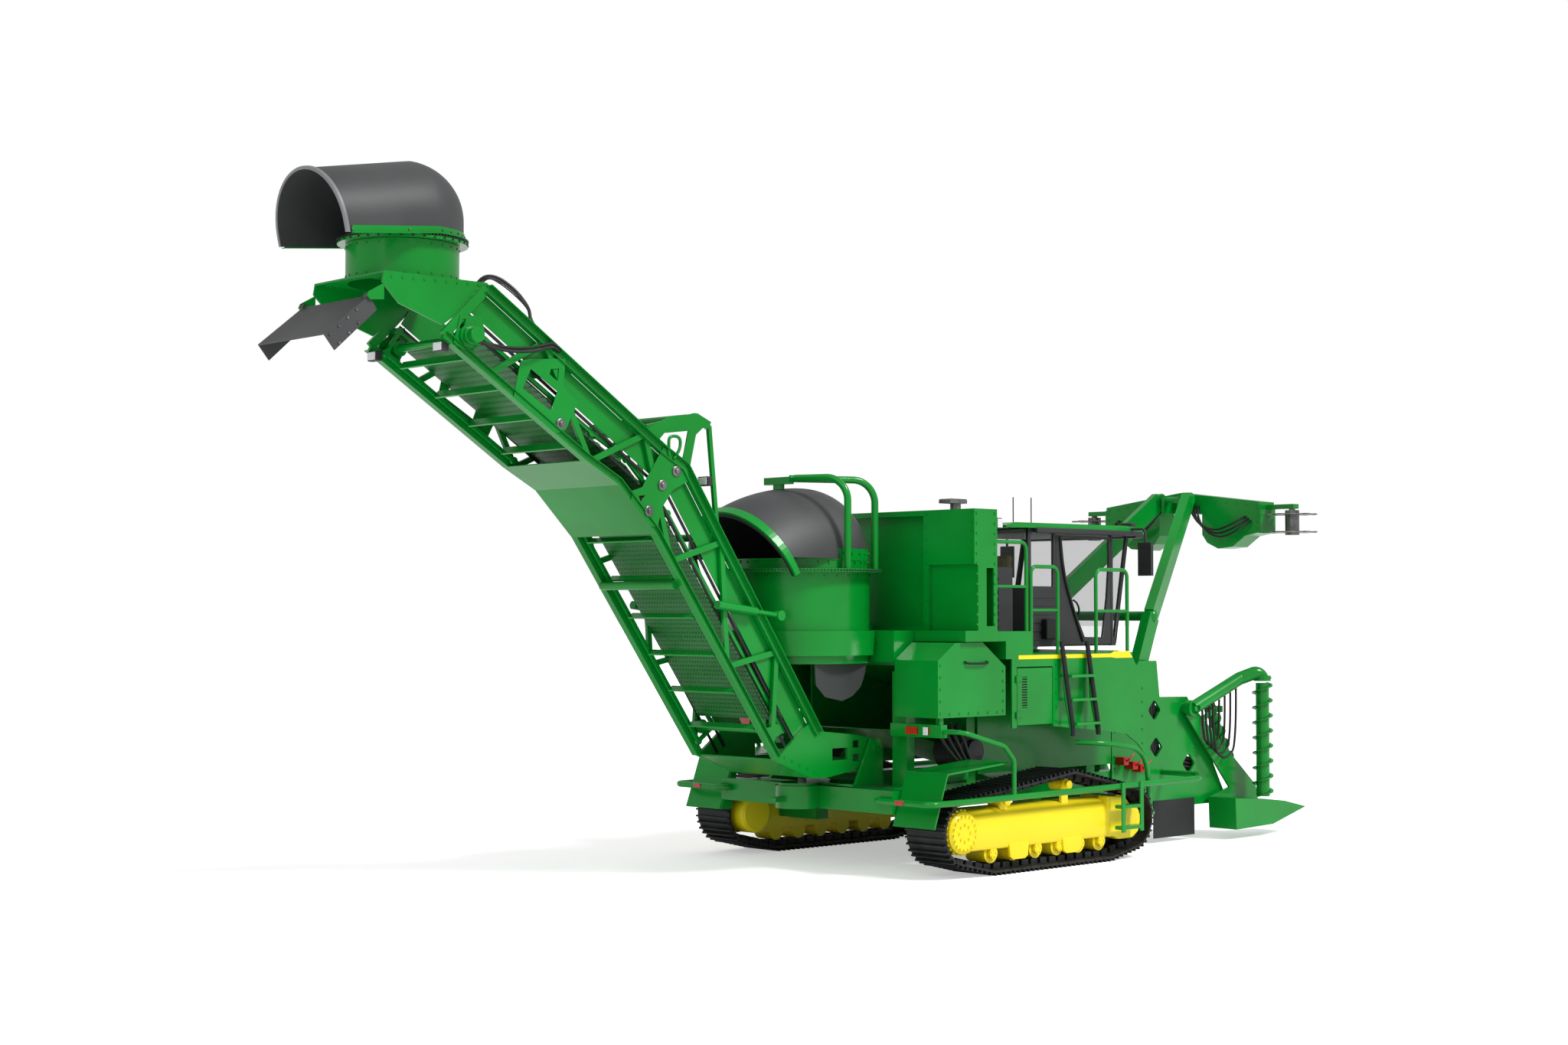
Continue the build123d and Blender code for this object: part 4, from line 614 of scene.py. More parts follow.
# %% Bolts
band = [spot for spot in ring_spots((HOOD_X, 0, 3.5), 0.79, 36, UP, True) if spot[0].x > -0.8]
band += ring_spots((HOOD_X, 0, 3.405), 0.785, 40, UP, True)
bolts("hood_band_bolts", band, "primary_hood", GREEN, 0.015, 0.02)
bolts("hood_ring_teeth", ring_spots((HOOD_X, 0, 3.311), 0.934, 150, UP, True), "primary_hood", DARK_STEEL,
      0.012, 0.022, 4)
bolts("second_ring_bolts", ring_spots((TUNNEL_X, 0, 6.382), 0.62, 36, UP, True), "secondary_hood", BLACK,
      0.011, 0.016)

SIDE_ROWS = (             # first (x, y, z), last (x, z), count
    ((0.44, 1.762, 2.72), (0.44, 3.94), 12), ((0.74, 1.762, 2.72), (0.74, 3.94), 12),
    ((-0.09, 1.702, 1.76), (-0.09, 2.28), 5), ((0.94, 1.702, 1.76), (0.94, 2.2), 5),
    ((0.06, 1.702, 1.75), (0.84, 1.75), 6), ((1.86, 1.702, 1.62), (1.86, 2.26), 5),
    ((3.46, 1.702, 1.3), (3.46, 1.95), 5), ((3.66, 1.132, 0.8), (3.66, 1.7), 7),
    ((4.2, 1.132, 0.48), (5.7, 0.48), 9),
)
REAR_X, TOPPER_X = 0.398, 6.558          # rear faces of the tower and of the topper
REAR_ROWS = ((1.72, 3.42, 3.95, 6), (1.04, 2.72, 3.94, 10))          # y, lowest, highest, count
body_rows = ring_spots((HOOD_X, 0, 3.25), 0.802, 32, UP, True)
hub_rows, roller_caps = [], []
for side, s in SIDES:
    out = Vector((0, s, 0))
    for (x, y, z), (end_x, end_z), count in SIDE_ROWS:
        body_rows += line_spots((x, s * y, z), (end_x, s * y, end_z), count, out)
    for y, low, high, count in REAR_ROWS:
        body_rows += line_spots((REAR_X, s * y, low), (REAR_X, s * y, high), count, (-1, 0, 0))
    hub_rows += ring_spots((HUB_X, s * 1.957, HUB_Z), 0.18, 18, out)
    hub_rows += ring_spots((HUB_X, s * 1.957, HUB_Z), 0.09, 8, out)
    hub_rows += ring_spots((IDLER_X, s * 1.902, IDLER_Z), 0.08, 8, out)
    hub_rows += line_spots((0.5, s * 1.891, 0.5), (2.4, s * 1.891, 0.5), 9, out)
    for i in range(6):
        centre = (0.56 + i * 0.376, s * 1.866, 0.231)
        roller_caps.append((Vector(centre), out))
        hub_rows += ring_spots((centre[0], s * 1.884, 0.231), 0.04, 5, out)
bolts("body_bolts", body_rows, "chassis", GREEN, 0.014, 0.014)
bolts("hub_bolts", hub_rows, "chassis", YELLOW, 0.013, 0.016)
bolts("roller_caps", roller_caps, "chassis", YELLOW, 0.062, 0.036, 28)

boom_rows = []
for z in (6.05, 6.33):
    boom_rows += ring_spots((TUNNEL_X, 0, z), 0.541, 26, UP, True)
for side, s in SIDES:
    out = (0, s, 0)
    boom_rows += line_spots((-6.38, s * 0.602, 5.96), (-5.4, s * 0.602, 5.98), 9, out)
    boom_rows += line_spots((-1.4, s * 0.642, 1.3), (-0.95, s * 0.642, 1.12), 5, out)
    boom_rows += ring_spots((-0.064, s * 0.722, 1.351), 0.03, 5, out)
    for (x, z), (end_x, end_z) in (((-1.58, 1.36), (-3.2, 3.62)), ((-4.2, 4.42), (-5.7, 5.37))):
        boom_rows += line_spots((x, s * 0.642, z), (end_x, s * 0.642, end_z), 14, out)
bolts("boom_bolts", boom_rows, "boom", GREEN, 0.012, 0.012)

head_rows = []
for side, s in SIDES:
    head_rows += line_spots((TOPPER_X, s * 0.42, 4.34), (TOPPER_X, s * 1.2, 4.24), 6, (-1, 0, 0))
    head_rows += line_spots((TOPPER_X, s * 1.22, 3.94), (TOPPER_X, s * 1.22, 4.2), 4, (-1, 0, 0))
bolts("topper_bolts", head_rows, "topper_head", GREEN, 0.012, 0.012)
for side, s in SIDES:
    spots = ring_spots((6.23, s * 1.5, 2.01), 0.111, 8, UP, True)
    bolts(f"divider_bolts_{side}", spots, f"divider_{side}", GREEN, 0.012, 0.014)
print("bolt rows set")

# %% [markdown]
# The mouth of the hood has a pressed green lip outside and a black edging inside. Both are strips that
# follow the arched edge, which leans back with the sweep of the hood.


# %% Hood lip
SWEEP_Z, SWEEP_ARM = 1.84, 1.62          # axis of the hood's sweep, and from there to its arch


def lip(name, inner, outer, start_angle, end_angle, finish):
    """A strip along the arched mouth: two radii, and two angles of the hood's sweep in degrees."""
    first, last = radians(start_angle), radians(end_angle)
    rows = []
    for i in range(49):
        turn = pi * i / 48
        ring = []
        for radius, angle in ((inner, first), (outer, first), (outer, last), (inner, last)):
            arm = SWEEP_ARM + radius * sin(turn)
            ring.append((HOOD_X - arm * sin(angle), radius * cos(turn), SWEEP_Z + arm * cos(angle)))
        rows.append(ring)
    return swept(name, rows, finish, "primary_hood")


lip("hood_lip", 0.781, 0.812, 27.6, 30.2, GREEN)
lip("hood_edging", 0.752, 0.781, 29.5, 30.4, RUBBER)

# %% [markdown]
# Small fittings: lamps with a ribbed lens in a dark shell, black handles and handrails, aerials, a switch
# box and red shut-off valves.

# %% Lamps, handles and valves
LAMPS = (                 # name, middle, half size, faces
    ("tower_lamp", (0.86, -1.66, 3.84), (0.05, 0.07, 0.06), (0, -1, 0)),
    ("roof_lamp_right", (4.5, -0.7, 3.93), (0.05, 0.09, 0.04), (1, 0, 0)),
    ("roof_lamp_left", (4.5, 0.7, 3.93), (0.05, 0.09, 0.04), (1, 0, 0)),
)
for name, middle, half, faces in LAMPS:
    low, high = Vector(middle) - Vector(half), Vector(middle) + Vector(half)
    block(name + "_shell", low, high, 0.015, TRIM_PLASTIC)
    front = Vector(middle) + Vector([f * h for f, h in zip(faces, half)])
    thin = Vector([0.006 if f else h * 0.82 for f, h in zip(faces, half)])
    block(name + "_lens", front - thin, front + thin, 0.004, CLEAR_LENS)
rail("tower_lamp_post", [(0.86, -1.66, 3.79), (0.86, -1.66, 3.75), (0.82, -1.66, 3.72), (0.775, -1.66, 3.72)],
     0.012, BLACK)
for side, s in SIDES:
    block(f"tail_lamp_white_{side}", (-0.176, s * 1.55 - 0.034, 1.526), (-0.163, s * 1.55 + 0.034, 1.614),
          0.005, CLEAR_LENS)
    rail(f"locker_handle_{side}", [(0.3, s * 1.695, 2.31), (0.3, s * 1.735, 2.3), (0.36, s * 1.74, 2.29),
         (0.6, s * 1.74, 2.29), (0.66, s * 1.735, 2.3), (0.66, s * 1.695, 2.31)], 0.013, BLACK)
    for x in (1.96, 2.42):
        rail(f"step_rail_{side}_{round(x * 100)}", [(x, s * 1.86, 1.45), (x, s * 1.87, 1.5),
             (x, s * 1.8, 1.9), (x - 0.03, s * 1.76, 2.3), (x - 0.05, s * 1.74, 2.52)], 0.028, BLACK)
plate("door_strip", [(1.262, 1.782), (1.348, 1.782), (1.348, 2.128), (1.262, 2.128)], -1.6895, -0.002, BLACK,
      "engine_door")
for i, (x, y) in enumerate(((2.34, -0.66), (2.6, -0.72))):
    rail(f"aerial_{i}", [(x, y, 3.9), (x, y, 3.96), (x, y, 4.05), (x, y, 4.22)], 0.007, BLACK)
block("switch_box", (2.62, -0.94, 2.53), (2.84, -0.856, 2.77), 0.012, BLACK)
VALVES = ((3.72, -1.2, 1.05), (3.9, -1.2, 0.99), (4.06, -1.19, 0.95))
for i, (x, y, z) in enumerate(VALVES):
    block(f"valve_body_{i}", (x - 0.05, y - 0.06, z - 0.05), (x + 0.05, y + 0.09, z + 0.05), 0.012, RED)
    rail(f"valve_lever_{i}", [(x, y - 0.05, z), (x, y - 0.09, z + 0.01), (x + 0.03, y - 0.1, z + 0.05),
         (x + 0.1, y - 0.1, z + 0.09)], 0.011, RED)
print("fittings set")

# %% [markdown]
# The elevator's frame is made of pressed channels. Thin flanges give the chords their channel edge, and
# plates with openings stiffen the joints. A guard sheet runs beside the chain, and two black strips below
# it are painted shade standing in for dark slots.


# %% Elevator plates
UPPER = ((-0.86, 1.56), (-2.798, 4.384), (-3.099, 4.551), (-5.3, 5.985))
LOWER = ((-1.547, 1.268), (-3.25, 3.645), (-3.733, 4.126), (-4.154, 4.352), (-5.84, 5.42))


def shifted(points, distance):
    """A side-view line moved square to itself; a positive distance moves it up and forward."""
    moved = []
    for i, point in enumerate(points):
        ways = []
        for a, b in ((i - 1, i), (i, i + 1)):
            if a >= 0 and b < len(points):
                run = Vector(points[b]) - Vector(points[a])
                ways.append(Vector((run.y, -run.x)).normalized())
        way = sum(ways, Vector((0, 0))).normalized()
        moved.append(tuple(Vector(point) + way * (distance / way.dot(ways[0]))))
    return moved


def strip(points, near, far):
    """The outline between a line moved by two distances."""
    return shifted(points, near) + shifted(points, far)[::-1]


def cut_plate(name, outline, holes, y, thick, finish, body="chassis"):
    """A flat plate with openings, from side-view outlines (x, z), between y and y + thick."""
    curve = bpy.data.curves.new(name, "CURVE")
    curve.dimensions = "2D"
    curve.fill_mode = "BOTH"
    curve.extrude = abs(thick) / 2
    for ring in [outline] + holes:
        line = curve.splines.new("POLY")
        line.points.add(len(ring) - 1)
        for spot, (x, z) in zip(line.points, ring):
            spot.co = (x, z, 0, 1)
        line.use_cyclic_u = True
    form = bmesh.new()
    form.from_mesh(baked(placed(name, curve)))
    bmesh.ops.transform(form, verts=form.verts,
                        matrix=Matrix.Translation((0, y + thick / 2, 0)) @ Matrix.Rotation(pi / 2, 4, "X"))
    return finished(form, name, finish, body)


GUSSET = ([(-4.93, 5.29), (-4.82, 5.31), (-4.385, 5.35), (-4.416, 5.06), (-4.23, 4.93), (-4.38, 4.65),
          (-4.505, 4.6), (-5.02, 4.92)], [[(-4.81, 5.215), (-4.485, 5.02), (-4.565, 4.82), (-4.91, 5.02)],
          [(-4.565, 5.235), (-4.465, 5.245), (-4.48, 5.115), (-4.585, 5.18)]])
ELBOW = ([(-3.12, 4.54), (-2.91, 4.45), (-2.8, 4.34), (-2.77, 4.21), (-2.99, 4.11), (-3.13, 3.93),
         (-3.2, 3.72), (-3.3, 3.73), (-3.55, 3.97), (-3.53, 4.08), (-3.4, 4.12)],
         [[(-3.42, 3.97), (-3.36, 4.04), (-3.45, 4.03)]])
MAST = ([(-3.28, 4.74), (-3.0, 4.865), (-2.61, 4.915), (-2.44, 4.81), (-2.44, 4.77), (-2.54, 4.775),
        (-2.66, 4.68), (-2.74, 4.39), (-2.83, 4.42), (-2.74, 4.73), (-3.07, 4.69), (-3.2, 4.56),
        (-3.29, 4.58)], [])
HEAD_PLATE = ([(-5.72, 5.4), (-5.64, 5.66), (-5.4, 5.68), (-5.36, 5.52), (-5.45, 5.36), (-5.62, 5.33)],
              [[(-5.625, 5.63), (-5.575, 5.635), (-5.605, 5.545), (-5.655, 5.535)]])
for side, s in SIDES:
    for name, outline, y, thick, finish in (
            ("upper_flange", strip(UPPER, 0, -0.008), CHORD_Y, 0.05, GREEN),
            ("upper_fold", strip(UPPER, -0.082, -0.09), CHORD_Y, 0.03, GREEN),
            ("lower_flange", strip(LOWER, 0, 0.008), CHORD_Y, 0.05, GREEN),
            ("lower_fold", strip(LOWER, 0.082, 0.09), CHORD_Y, 0.03, GREEN),
            ("chain_guard", strip(UPPER, -0.09, -0.33), 0.587, 0.006, GREEN),
            # The two black strips are painted shade standing in for dark slots along the chain.
            ("slot_shade_strip_high", strip(UPPER, -0.35, -0.38), 0.584, 0.012, BLACK),
            ("slot_shade_strip_low", strip(UPPER, -0.47, -0.5), 0.584, 0.012, BLACK)):
        plate(f"{name}_{side}", outline, s * y, s * thick, finish, "boom")
    for name, (outline, holes), y, thick in (("side_gusset", GUSSET, CHORD_Y, 0.012),
            ("elbow_plate", ELBOW, CHORD_Y, 0.012), ("mast_plate", MAST, 0.6005, 0.008),
            ("head_plate", HEAD_PLATE, CHORD_Y, 0.012)):
        cut_plate(f"{name}_{side}", outline, holes, s * y, s * thick, GREEN, "boom")
    rail(f"lifting_hook_{side}", [(-3.05, s * 0.66, 4.46), (-3.06, s * 0.66, 4.56), (-3.05, s * 0.66, 4.66),
         (-2.9, s * 0.66, 4.66), (-2.9, s * 0.66, 4.54), (-2.96, s * 0.66, 4.46), (-2.99, s * 0.66, 4.43)],
         0.017, GREEN, "boom")
print("elevator plates set")

# %% [markdown]
# Turned fittings, such as the chain's drive motors and the pin heads, are rings of points round an axis,
# joined into one skin. Box lamps hang under the head and on the mast.


# %% Turned fittings
def lathe(name, centre, axis, profile, finish, body="chassis", count=28):
    """A turned form: rings of (radius, distance along the axis) round a centre."""
    axis = Vector(axis).normalized()
    aside = axis.orthogonal().normalized()
    other = axis.cross(aside)
    ways = [aside * cos(2 * pi * i / count) + other * sin(2 * pi * i / count) for i in range(count)]
    rows = [[Vector(centre) + axis * reach + way * radius for way in ways] for radius, reach in profile]
    return swept(name, rows, finish, body)


MOTOR = [(0.11, 0), (0.115, 0.004), (0.115, 0.022), (0.09, 0.024), (0.09, 0.06), (0.078, 0.064),
         (0.078, 0.14), (0.07, 0.15), (0.03, 0.153)]
PIN_HEAD = [(0.055, 0), (0.055, 0.014), (0.045, 0.02), (0.024, 0.02), (0.024, 0.034), (0.018, 0.038)]
lathe("chain_motor", (-5.54, -PLATE_Y, 5.474), (0, -1, 0), MOTOR, GREEN, "boom")
lathe("chain_motor_left", (-5.54, PLATE_Y, 5.474), (0, 1, 0), MOTOR, GREEN, "boom")
for side, s in SIDES:
    for i, (x, z) in enumerate(((-3.32, 3.88), (-3.14, 4.15), (-2.95, 4.3), (-4.45, 4.7))):
        lathe(f"pin_head_{side}_{i}", (x, s * PLATE_Y, z), (0, s, 0), PIN_HEAD, WORN_STEEL, "boom")
BOOM_LAMPS = {
    "head_lamp_right": (-5.8, -0.56, 5.36),
    "head_lamp_left": (-5.8, 0.56, 5.36),
    "mast_lamp": (-2.47, -0.56, 4.22),
}
for name, (x, y, z) in BOOM_LAMPS.items():
    block(name, (x - 0.04, y - 0.08, z - 0.05), (x + 0.04, y + 0.08, z + 0.05), 0.014, TRIM_PLASTIC, "boom")
    block(name + "_lens", (x - 0.046, y - 0.066, z - 0.038), (x - 0.03, y + 0.066, z + 0.038), 0.004,
          CLEAR_LENS, "boom")
print("turned fittings set")

# %% [markdown]
# The small hood is one moulded shell: a quarter dome in front and an arched tunnel that falls to the
# rear. The tunnel's rows end where they meet the mouth, a plane that leans back. A thickness is then
# given to the skin, and a rolled edge follows the mouth.

# %% Small hood shell
TUNNEL_FOOT, TUNNEL_FALL, FOOT_FALL = 6.43, 0.1944, 0.11
TUNNEL_RADIUS, TUNNEL_WALL = 0.58, 0.18
MOUTH_FOOT, MOUTH_LEAN = (-6.85, 6.32), 0.2154


def mouth_reach(height):
    """How far back the tunnel runs for a place at this height of its arch; None is the foot."""
    base = TUNNEL_X - MOUTH_FOOT[0] + (TUNNEL_FOOT - MOUTH_FOOT[1]) * MOUTH_LEAN
    if height is None:
        return base / (1 + FOOT_FALL * MOUTH_LEAN)
    return (base + height * MOUTH_LEAN) / (1 + TUNNEL_FALL * MOUTH_LEAN)


def tunnel_point(aside, height, reach, lift=0.0):
    """A point of the tunnel's skin, moved out by a small lift."""
    if height is None:
        return (TUNNEL_X - reach, aside + (lift if aside > 0 else -lift), TUNNEL_FOOT - FOOT_FALL * reach)
    way = Vector((aside, height - TUNNEL_WALL)).normalized() * lift
    return (TUNNEL_X - reach, aside + way.x, TUNNEL_FOOT + height + way.y - TUNNEL_FALL * reach)


turns = [pi * i / 40 for i in range(41)]
ARCH = [(TUNNEL_RADIUS * cos(turn), TUNNEL_WALL + TUNNEL_RADIUS * sin(turn)) for turn in turns]
ARCH = [(TUNNEL_RADIUS, None)] + ARCH + [(-TUNNEL_RADIUS, None)]

form = bmesh.new()
skin(form, [[form.verts.new(tunnel_point(y, h, mouth_reach(h) * i / 8)) for y, h in ARCH] for i in range(9)])
half_arch = [(TUNNEL_RADIUS, 0.0)] + ARCH[1:22]
rows = []
for i in range(33):
    turn = pi * i / 32 - pi / 2
    ring = [(TUNNEL_X + r * cos(turn), r * sin(turn), TUNNEL_FOOT + h) for r, h in half_arch]
    rows.append([form.verts.new(point) for point in ring])
skin(form, rows)
bmesh.ops.remove_doubles(form, verts=form.verts, dist=MERGE)
bmesh.ops.recalc_face_normals(form, faces=form.faces)
crown = max(form.faces, key=lambda face: face.calc_center_median().z)
if crown.normal.z < 0:
    bmesh.ops.reverse_faces(form, faces=form.faces)
holder = placed("second_hood_source", as_mesh(form, "second_hood_shell"))
wall = holder.modifiers.new("wall", "SOLIDIFY")
wall.thickness = 0.014
wall.offset = -1
shell = piece("second_hood_shell", soften(baked(holder), SHARP), HOOD_PLASTIC, "secondary_hood")
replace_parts(shell, "secondary_hood")

RIM = ((0.03, 0.001), (0.03, 0.012), (0.022, 0.018), (0.0, 0.018), (-0.008, 0.012), (-0.008, -0.014),
       (0.0, -0.016), (0.0, 0.001))
rows = [[tunnel_point(y, h, mouth_reach(h) - back, lift) for back, lift in RIM] for y, h in ARCH]
swept("second_hood_rim", rows, HOOD_RIM, "secondary_hood")

RING = ((0.506, 6.369), (0.62, 6.369), (0.62, 6.395), (0.58, 6.395), (0.58, 6.43), (0.506, 6.43))
turns = [2 * pi * i / 72 for i in range(72)]
rows = [[(TUNNEL_X + r * cos(turn), r * sin(turn), z) for r, z in RING] for turn in turns]
swept("second_hood_ring", rows, GREEN, "secondary_hood", loop=True)

BAND = ((0, -0.012), (0.05, -0.012), (0.05, -0.004), (0.008, -0.004), (0.008, 0.062), (0, 0.062))
BAND_Y = TUNNEL_RADIUS + 0.0015
runs = {s: [(Vector((TUNNEL_X - d, s * BAND_Y, TUNNEL_FOOT - FOOT_FALL * d)), Vector((0, s, 0)))
            for d in (0.94, 0.63, 0.32, 0.0)] for s in (-1, 1)}
ways = [Vector((sin(pi * i / 32), -cos(pi * i / 32), 0)) for i in range(1, 32)]
bend = [(Vector((TUNNEL_X, 0, TUNNEL_FOOT)) + way * BAND_Y, way) for way in ways]
band_path = runs[-1] + bend + runs[1][::-1]
rows = [[spot + way * lift + Vector((0, 0, rise)) for lift, rise in BAND] for spot, way in band_path]
swept("second_hood_band", rows, GREEN, "secondary_hood")
spots = [(spot + way * 0.01 + Vector((0, 0, 0.03)), way) for spot, way in band_path[::2]]
bolts("second_band_bolts", spots, "secondary_hood", WORN_STEEL, 0.012, 0.014)
bolts("second_ring_teeth", ring_spots((TUNNEL_X, 0, 6.405), 0.6, 110, UP, True), "secondary_hood", DARK_STEEL,
      0.011, 0.05, 4)
flap_spots = []
for side, s in SIDES:
    flap_spots += line_spots((-6.74, s * 0.578, 5.62), (-7.02, s * 0.578, 5.37), 4, (0, s, 0))
    flap_spots += line_spots((-6.72, s * 0.578, 5.5), (-6.92, s * 0.578, 5.3), 3, (0, s, 0))
bolts("flap_bolts", flap_spots, "bin_flap", WORN_STEEL, 0.014, 0.014)
print("small hood dressed")

# %% [markdown]
# Each track frame is one welded beam with a round drive hub at its rear end and a boxed yoke that
# carries the front wheel. The beam is a rounded section pulled along the machine. The hub is turned, and
# the yoke and the roller guards are thick plates with softened edges.


# %% Track frames
def thick_plate(name, outline, y, thick, round_edge, finish):
    """A plate with softened edges from a side-view outline (x, z)."""
    form = pulled([(x, y, z) for x, z in outline], (0, thick, 0))
    soft_edges(form, round_edge)
    return finished(form, name, finish)


BEAM = [(1.53, 0.27), (1.86, 0.27), (1.885, 0.28), (1.9, 0.31), (1.9, 0.55), (1.89, 0.6), (1.865, 0.65),
        (1.825, 0.69), (1.77, 0.715), (1.71, 0.722), (1.57, 0.722), (1.53, 0.69)]
YOKE = [(2.52, 0.74), (2.8, 0.72), (2.9, 0.6), (3.09, 0.57), (3.14, 0.46), (3.09, 0.3), (2.98, 0.232),
        (2.72, 0.232), (2.62, 0.27), (2.52, 0.27)]
HUB = [(0.2, 0), (0.235, 0.01), (0.235, 0.3), (0.228, 0.325), (0.205, 0.338), (0.195, 0.345), (0.06, 0.347)]
CARRIER_CAP = [(0.03, 0), (0.058, 0.004), (0.062, 0.02), (0.058, 0.045), (0.04, 0.05), (0.04, 0.075),
               (0.052, 0.08), (0.05, 0.095), (0.02, 0.1)]
notches = []
for side, s in SIDES:
    rows = [[(x, s * y, z) for y, z in BEAM] for x in (0.1, 0.9, 1.8, 2.6)]
    beam = swept(f"track_beam_{side}", rows, YELLOW, smooth=True)
    if s > 0:
        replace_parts(beam, "track_frames")
    thick_plate(f"front_yoke_{side}", YOKE, s * 1.76, s * 0.155, 0.02, YELLOW)
    thick_plate(f"inner_yoke_{side}", YOKE, s * 1.5, s * 0.12, 0.02, YELLOW)
    lathe(f"drive_hub_{side}", (HUB_X, s * 1.6, HUB_Z), (0, s, 0), HUB, YELLOW, count=48)
    lathe(f"inner_hub_{side}", (HUB_X, s * 1.66, HUB_Z), (0, -s, 0), HUB, YELLOW, count=48)
    lathe(f"idler_cap_{side}", (IDLER_X, s * 1.9, IDLER_Z), (0, s, 0),
          [(0.12, 0), (0.12, 0.018), (0.1, 0.026), (0.04, 0.028)], YELLOW)
    notches += ring_spots((HUB_X, s * 1.89, HUB_Z), 0.236, 24, (0, s, 0), True)
    for x, z in ((0.79, 0.777), (1.85, 0.904)):
        lathe(f"carrier_cap_{side}_{round(x * 100)}", (x, s * 1.8, z), (0, s, 0), CARRIER_CAP, YELLOW)
        block(f"carrier_post_{side}_{round(x * 100)}", (x - 0.06, s * 1.805 - 0.022, 0.66),
              (x + 0.06, s * 1.805 + 0.022, z + 0.03), 0.012, YELLOW)
    for x in (0.96, 1.88):
        thick_plate(f"roller_guard_{side}_{round(x * 100)}", [(x - 0.17, 0.33), (x - 0.15, 0.17),
                    (x - 0.1, 0.14), (x + 0.1, 0.14), (x + 0.15, 0.17), (x + 0.17, 0.33)], s * 1.868,
                    s * 0.04, 0.008, YELLOW)
bolts("hub_notches", notches, "chassis", YELLOW, 0.02, 0.03, 4)
print("track frames made")

# %% [markdown]
# The cab is mostly glass. Slim dark pillars and panels with openings hold thin panes, the door is one
# pane in a slanted frame, and the lower rear panels are ribbed plastic.


# %% Cab
PANE, PANE_Y = 0.006, -0.836             # how thick the glass is, and where it stands on the right
SIDE_Y = -0.85                           # outside of the cab on the right


def pane(name, corners):
    """A sheet of glass from its corners."""
    way = normal(*[Vector(corner) for corner in corners])
    return finished(pulled(corners, way * PANE), name, GLASS)


QUARTER = [(2.44, 3.16), (2.86, 3.16), (2.86, 3.8), (2.44, 3.8)]
DOOR_GLASS = [(2.99, 3.745), (3.925, 3.745), (3.93, 3.45), (3.89, 3.03), (3.8, 2.54), (3.45, 2.54),
              (3.16, 3.03), (3.03, 3.4)]
LEFT_GLASS = [(2.95, 3.0), (2.95, 3.8), (4.27, 3.8), (4.1, 3.0), (4.01, 2.54), (3.4, 2.54)]
FRONT_GLASS = [(4.0, 2.55), (4.04, 2.55), (4.28, 3.79), (4.0, 3.79)]
REAR_SIDE = [(2.39, 2.44), (2.895, 2.44), (2.895, 3.85), (2.39, 3.85)]
FRONT_SIDE = [(3.965, 2.44), (4.05, 2.44), (4.33, 3.85), (3.965, 3.85)]
WHOLE_SIDE = [(2.39, 2.44), (4.05, 2.44), (4.33, 3.85), (2.39, 3.85)]
DOOR = [(2.908, 2.46), (3.952, 2.46), (3.952, 3.78), (2.908, 3.78)]
shell = cut_plate("cab_side_rear", REAR_SIDE, [QUARTER], SIDE_Y, 0.04, TRIM_PLASTIC)
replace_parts(shell, "cab_frame")
cut_plate("cab_side_front", FRONT_SIDE, [FRONT_GLASS], SIDE_Y, 0.04, TRIM_PLASTIC)
cut_plate("cab_side_left", WHOLE_SIDE, [QUARTER, LEFT_GLASS], 0.81, 0.04, TRIM_PLASTIC)
leaf = cut_plate("door_frame", DOOR, [DOOR_GLASS], SIDE_Y, 0.035, TRIM_PLASTIC, "cab_door")
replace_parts(leaf, "cab_door")
leaf_glass = plate("door_pane", DOOR_GLASS, PANE_Y, PANE, GLASS, "cab_door")
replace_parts(leaf_glass, "cab_door_glass")
glass = pane("cab_screen", [(4.06, -0.79, 2.54), (4.06, 0.79, 2.54), (4.31, 0.79, 3.8), (4.31, -0.79, 3.8)])
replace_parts(glass, "cab_glass")
pane("cab_rear_pane", [(2.41, -0.77, 3.14), (2.41, 0.77, 3.14), (2.41, 0.77, 3.8), (2.41, -0.77, 3.8)])
for name, outline, y in (("quarter_pane_right", QUARTER, PANE_Y), ("quarter_pane_left", QUARTER, 0.83),
        ("left_pane", LEFT_GLASS, 0.83), ("front_pane", FRONT_GLASS, PANE_Y)):
    plate(name, outline, y, PANE, GLASS)
block("cab_rear_wall", (2.39, -0.81, 2.44), (2.43, 0.81, 3.14), 0.008, TRIM_PLASTIC)
block("cab_floor", (2.4, -0.8, 2.44), (4.04, 0.8, 2.48), 0.008, TRIM_PLASTIC)
block("cab_liner", (2.4, -0.81, 3.79), (4.29, 0.81, 3.845), 0.01, LINER)
block("screen_sill", (4.03, -0.81, 2.44), (4.075, 0.81, 2.54), 0.008, TRIM_PLASTIC)
for side, s in SIDES[::-1]:
    y = s * 0.825
    rail(f"screen_pillar_{side}", [(4.05, y, 2.48), (4.1, y, 2.75), (4.2, y, 3.28), (4.31, y, 3.83)], 0.028,
         BLACK)
rail("door_seal", [(2.975, -0.856, 3.76), (2.99, -0.856, 3.6), (3.03, -0.856, 3.36), (3.13, -0.856, 3.05),
     (3.4, -0.856, 2.5)], 0.02, BLACK, "cab_door")
rail("door_grip", [(3.2, -0.86, 3.0), (3.23, -0.9, 2.98), (3.29, -0.9, 2.86), (3.3, -0.86, 2.83)], 0.012,
     BLACK, "cab_door")
rail("far_trim", [(2.93, 0.8, 3.78), (2.96, 0.8, 3.5), (3.05, 0.8, 3.1), (3.3, 0.8, 2.5)], 0.03, CLOTH)
for i in range(6):
    block(f"cab_rib_{i}", (2.42, -0.858, 2.52 + i * 0.1), (2.87, -0.848, 2.585 + i * 0.1), 0.004,
          TRIM_PLASTIC)
print("cab glazed")

# %% [markdown]
# The track shoes are one node tree: a shoe plate with two low bars, set on evenly spaced points of the
# loop round the wheels and turned to face outwards. Two blocks inside each shoe are its chain links.

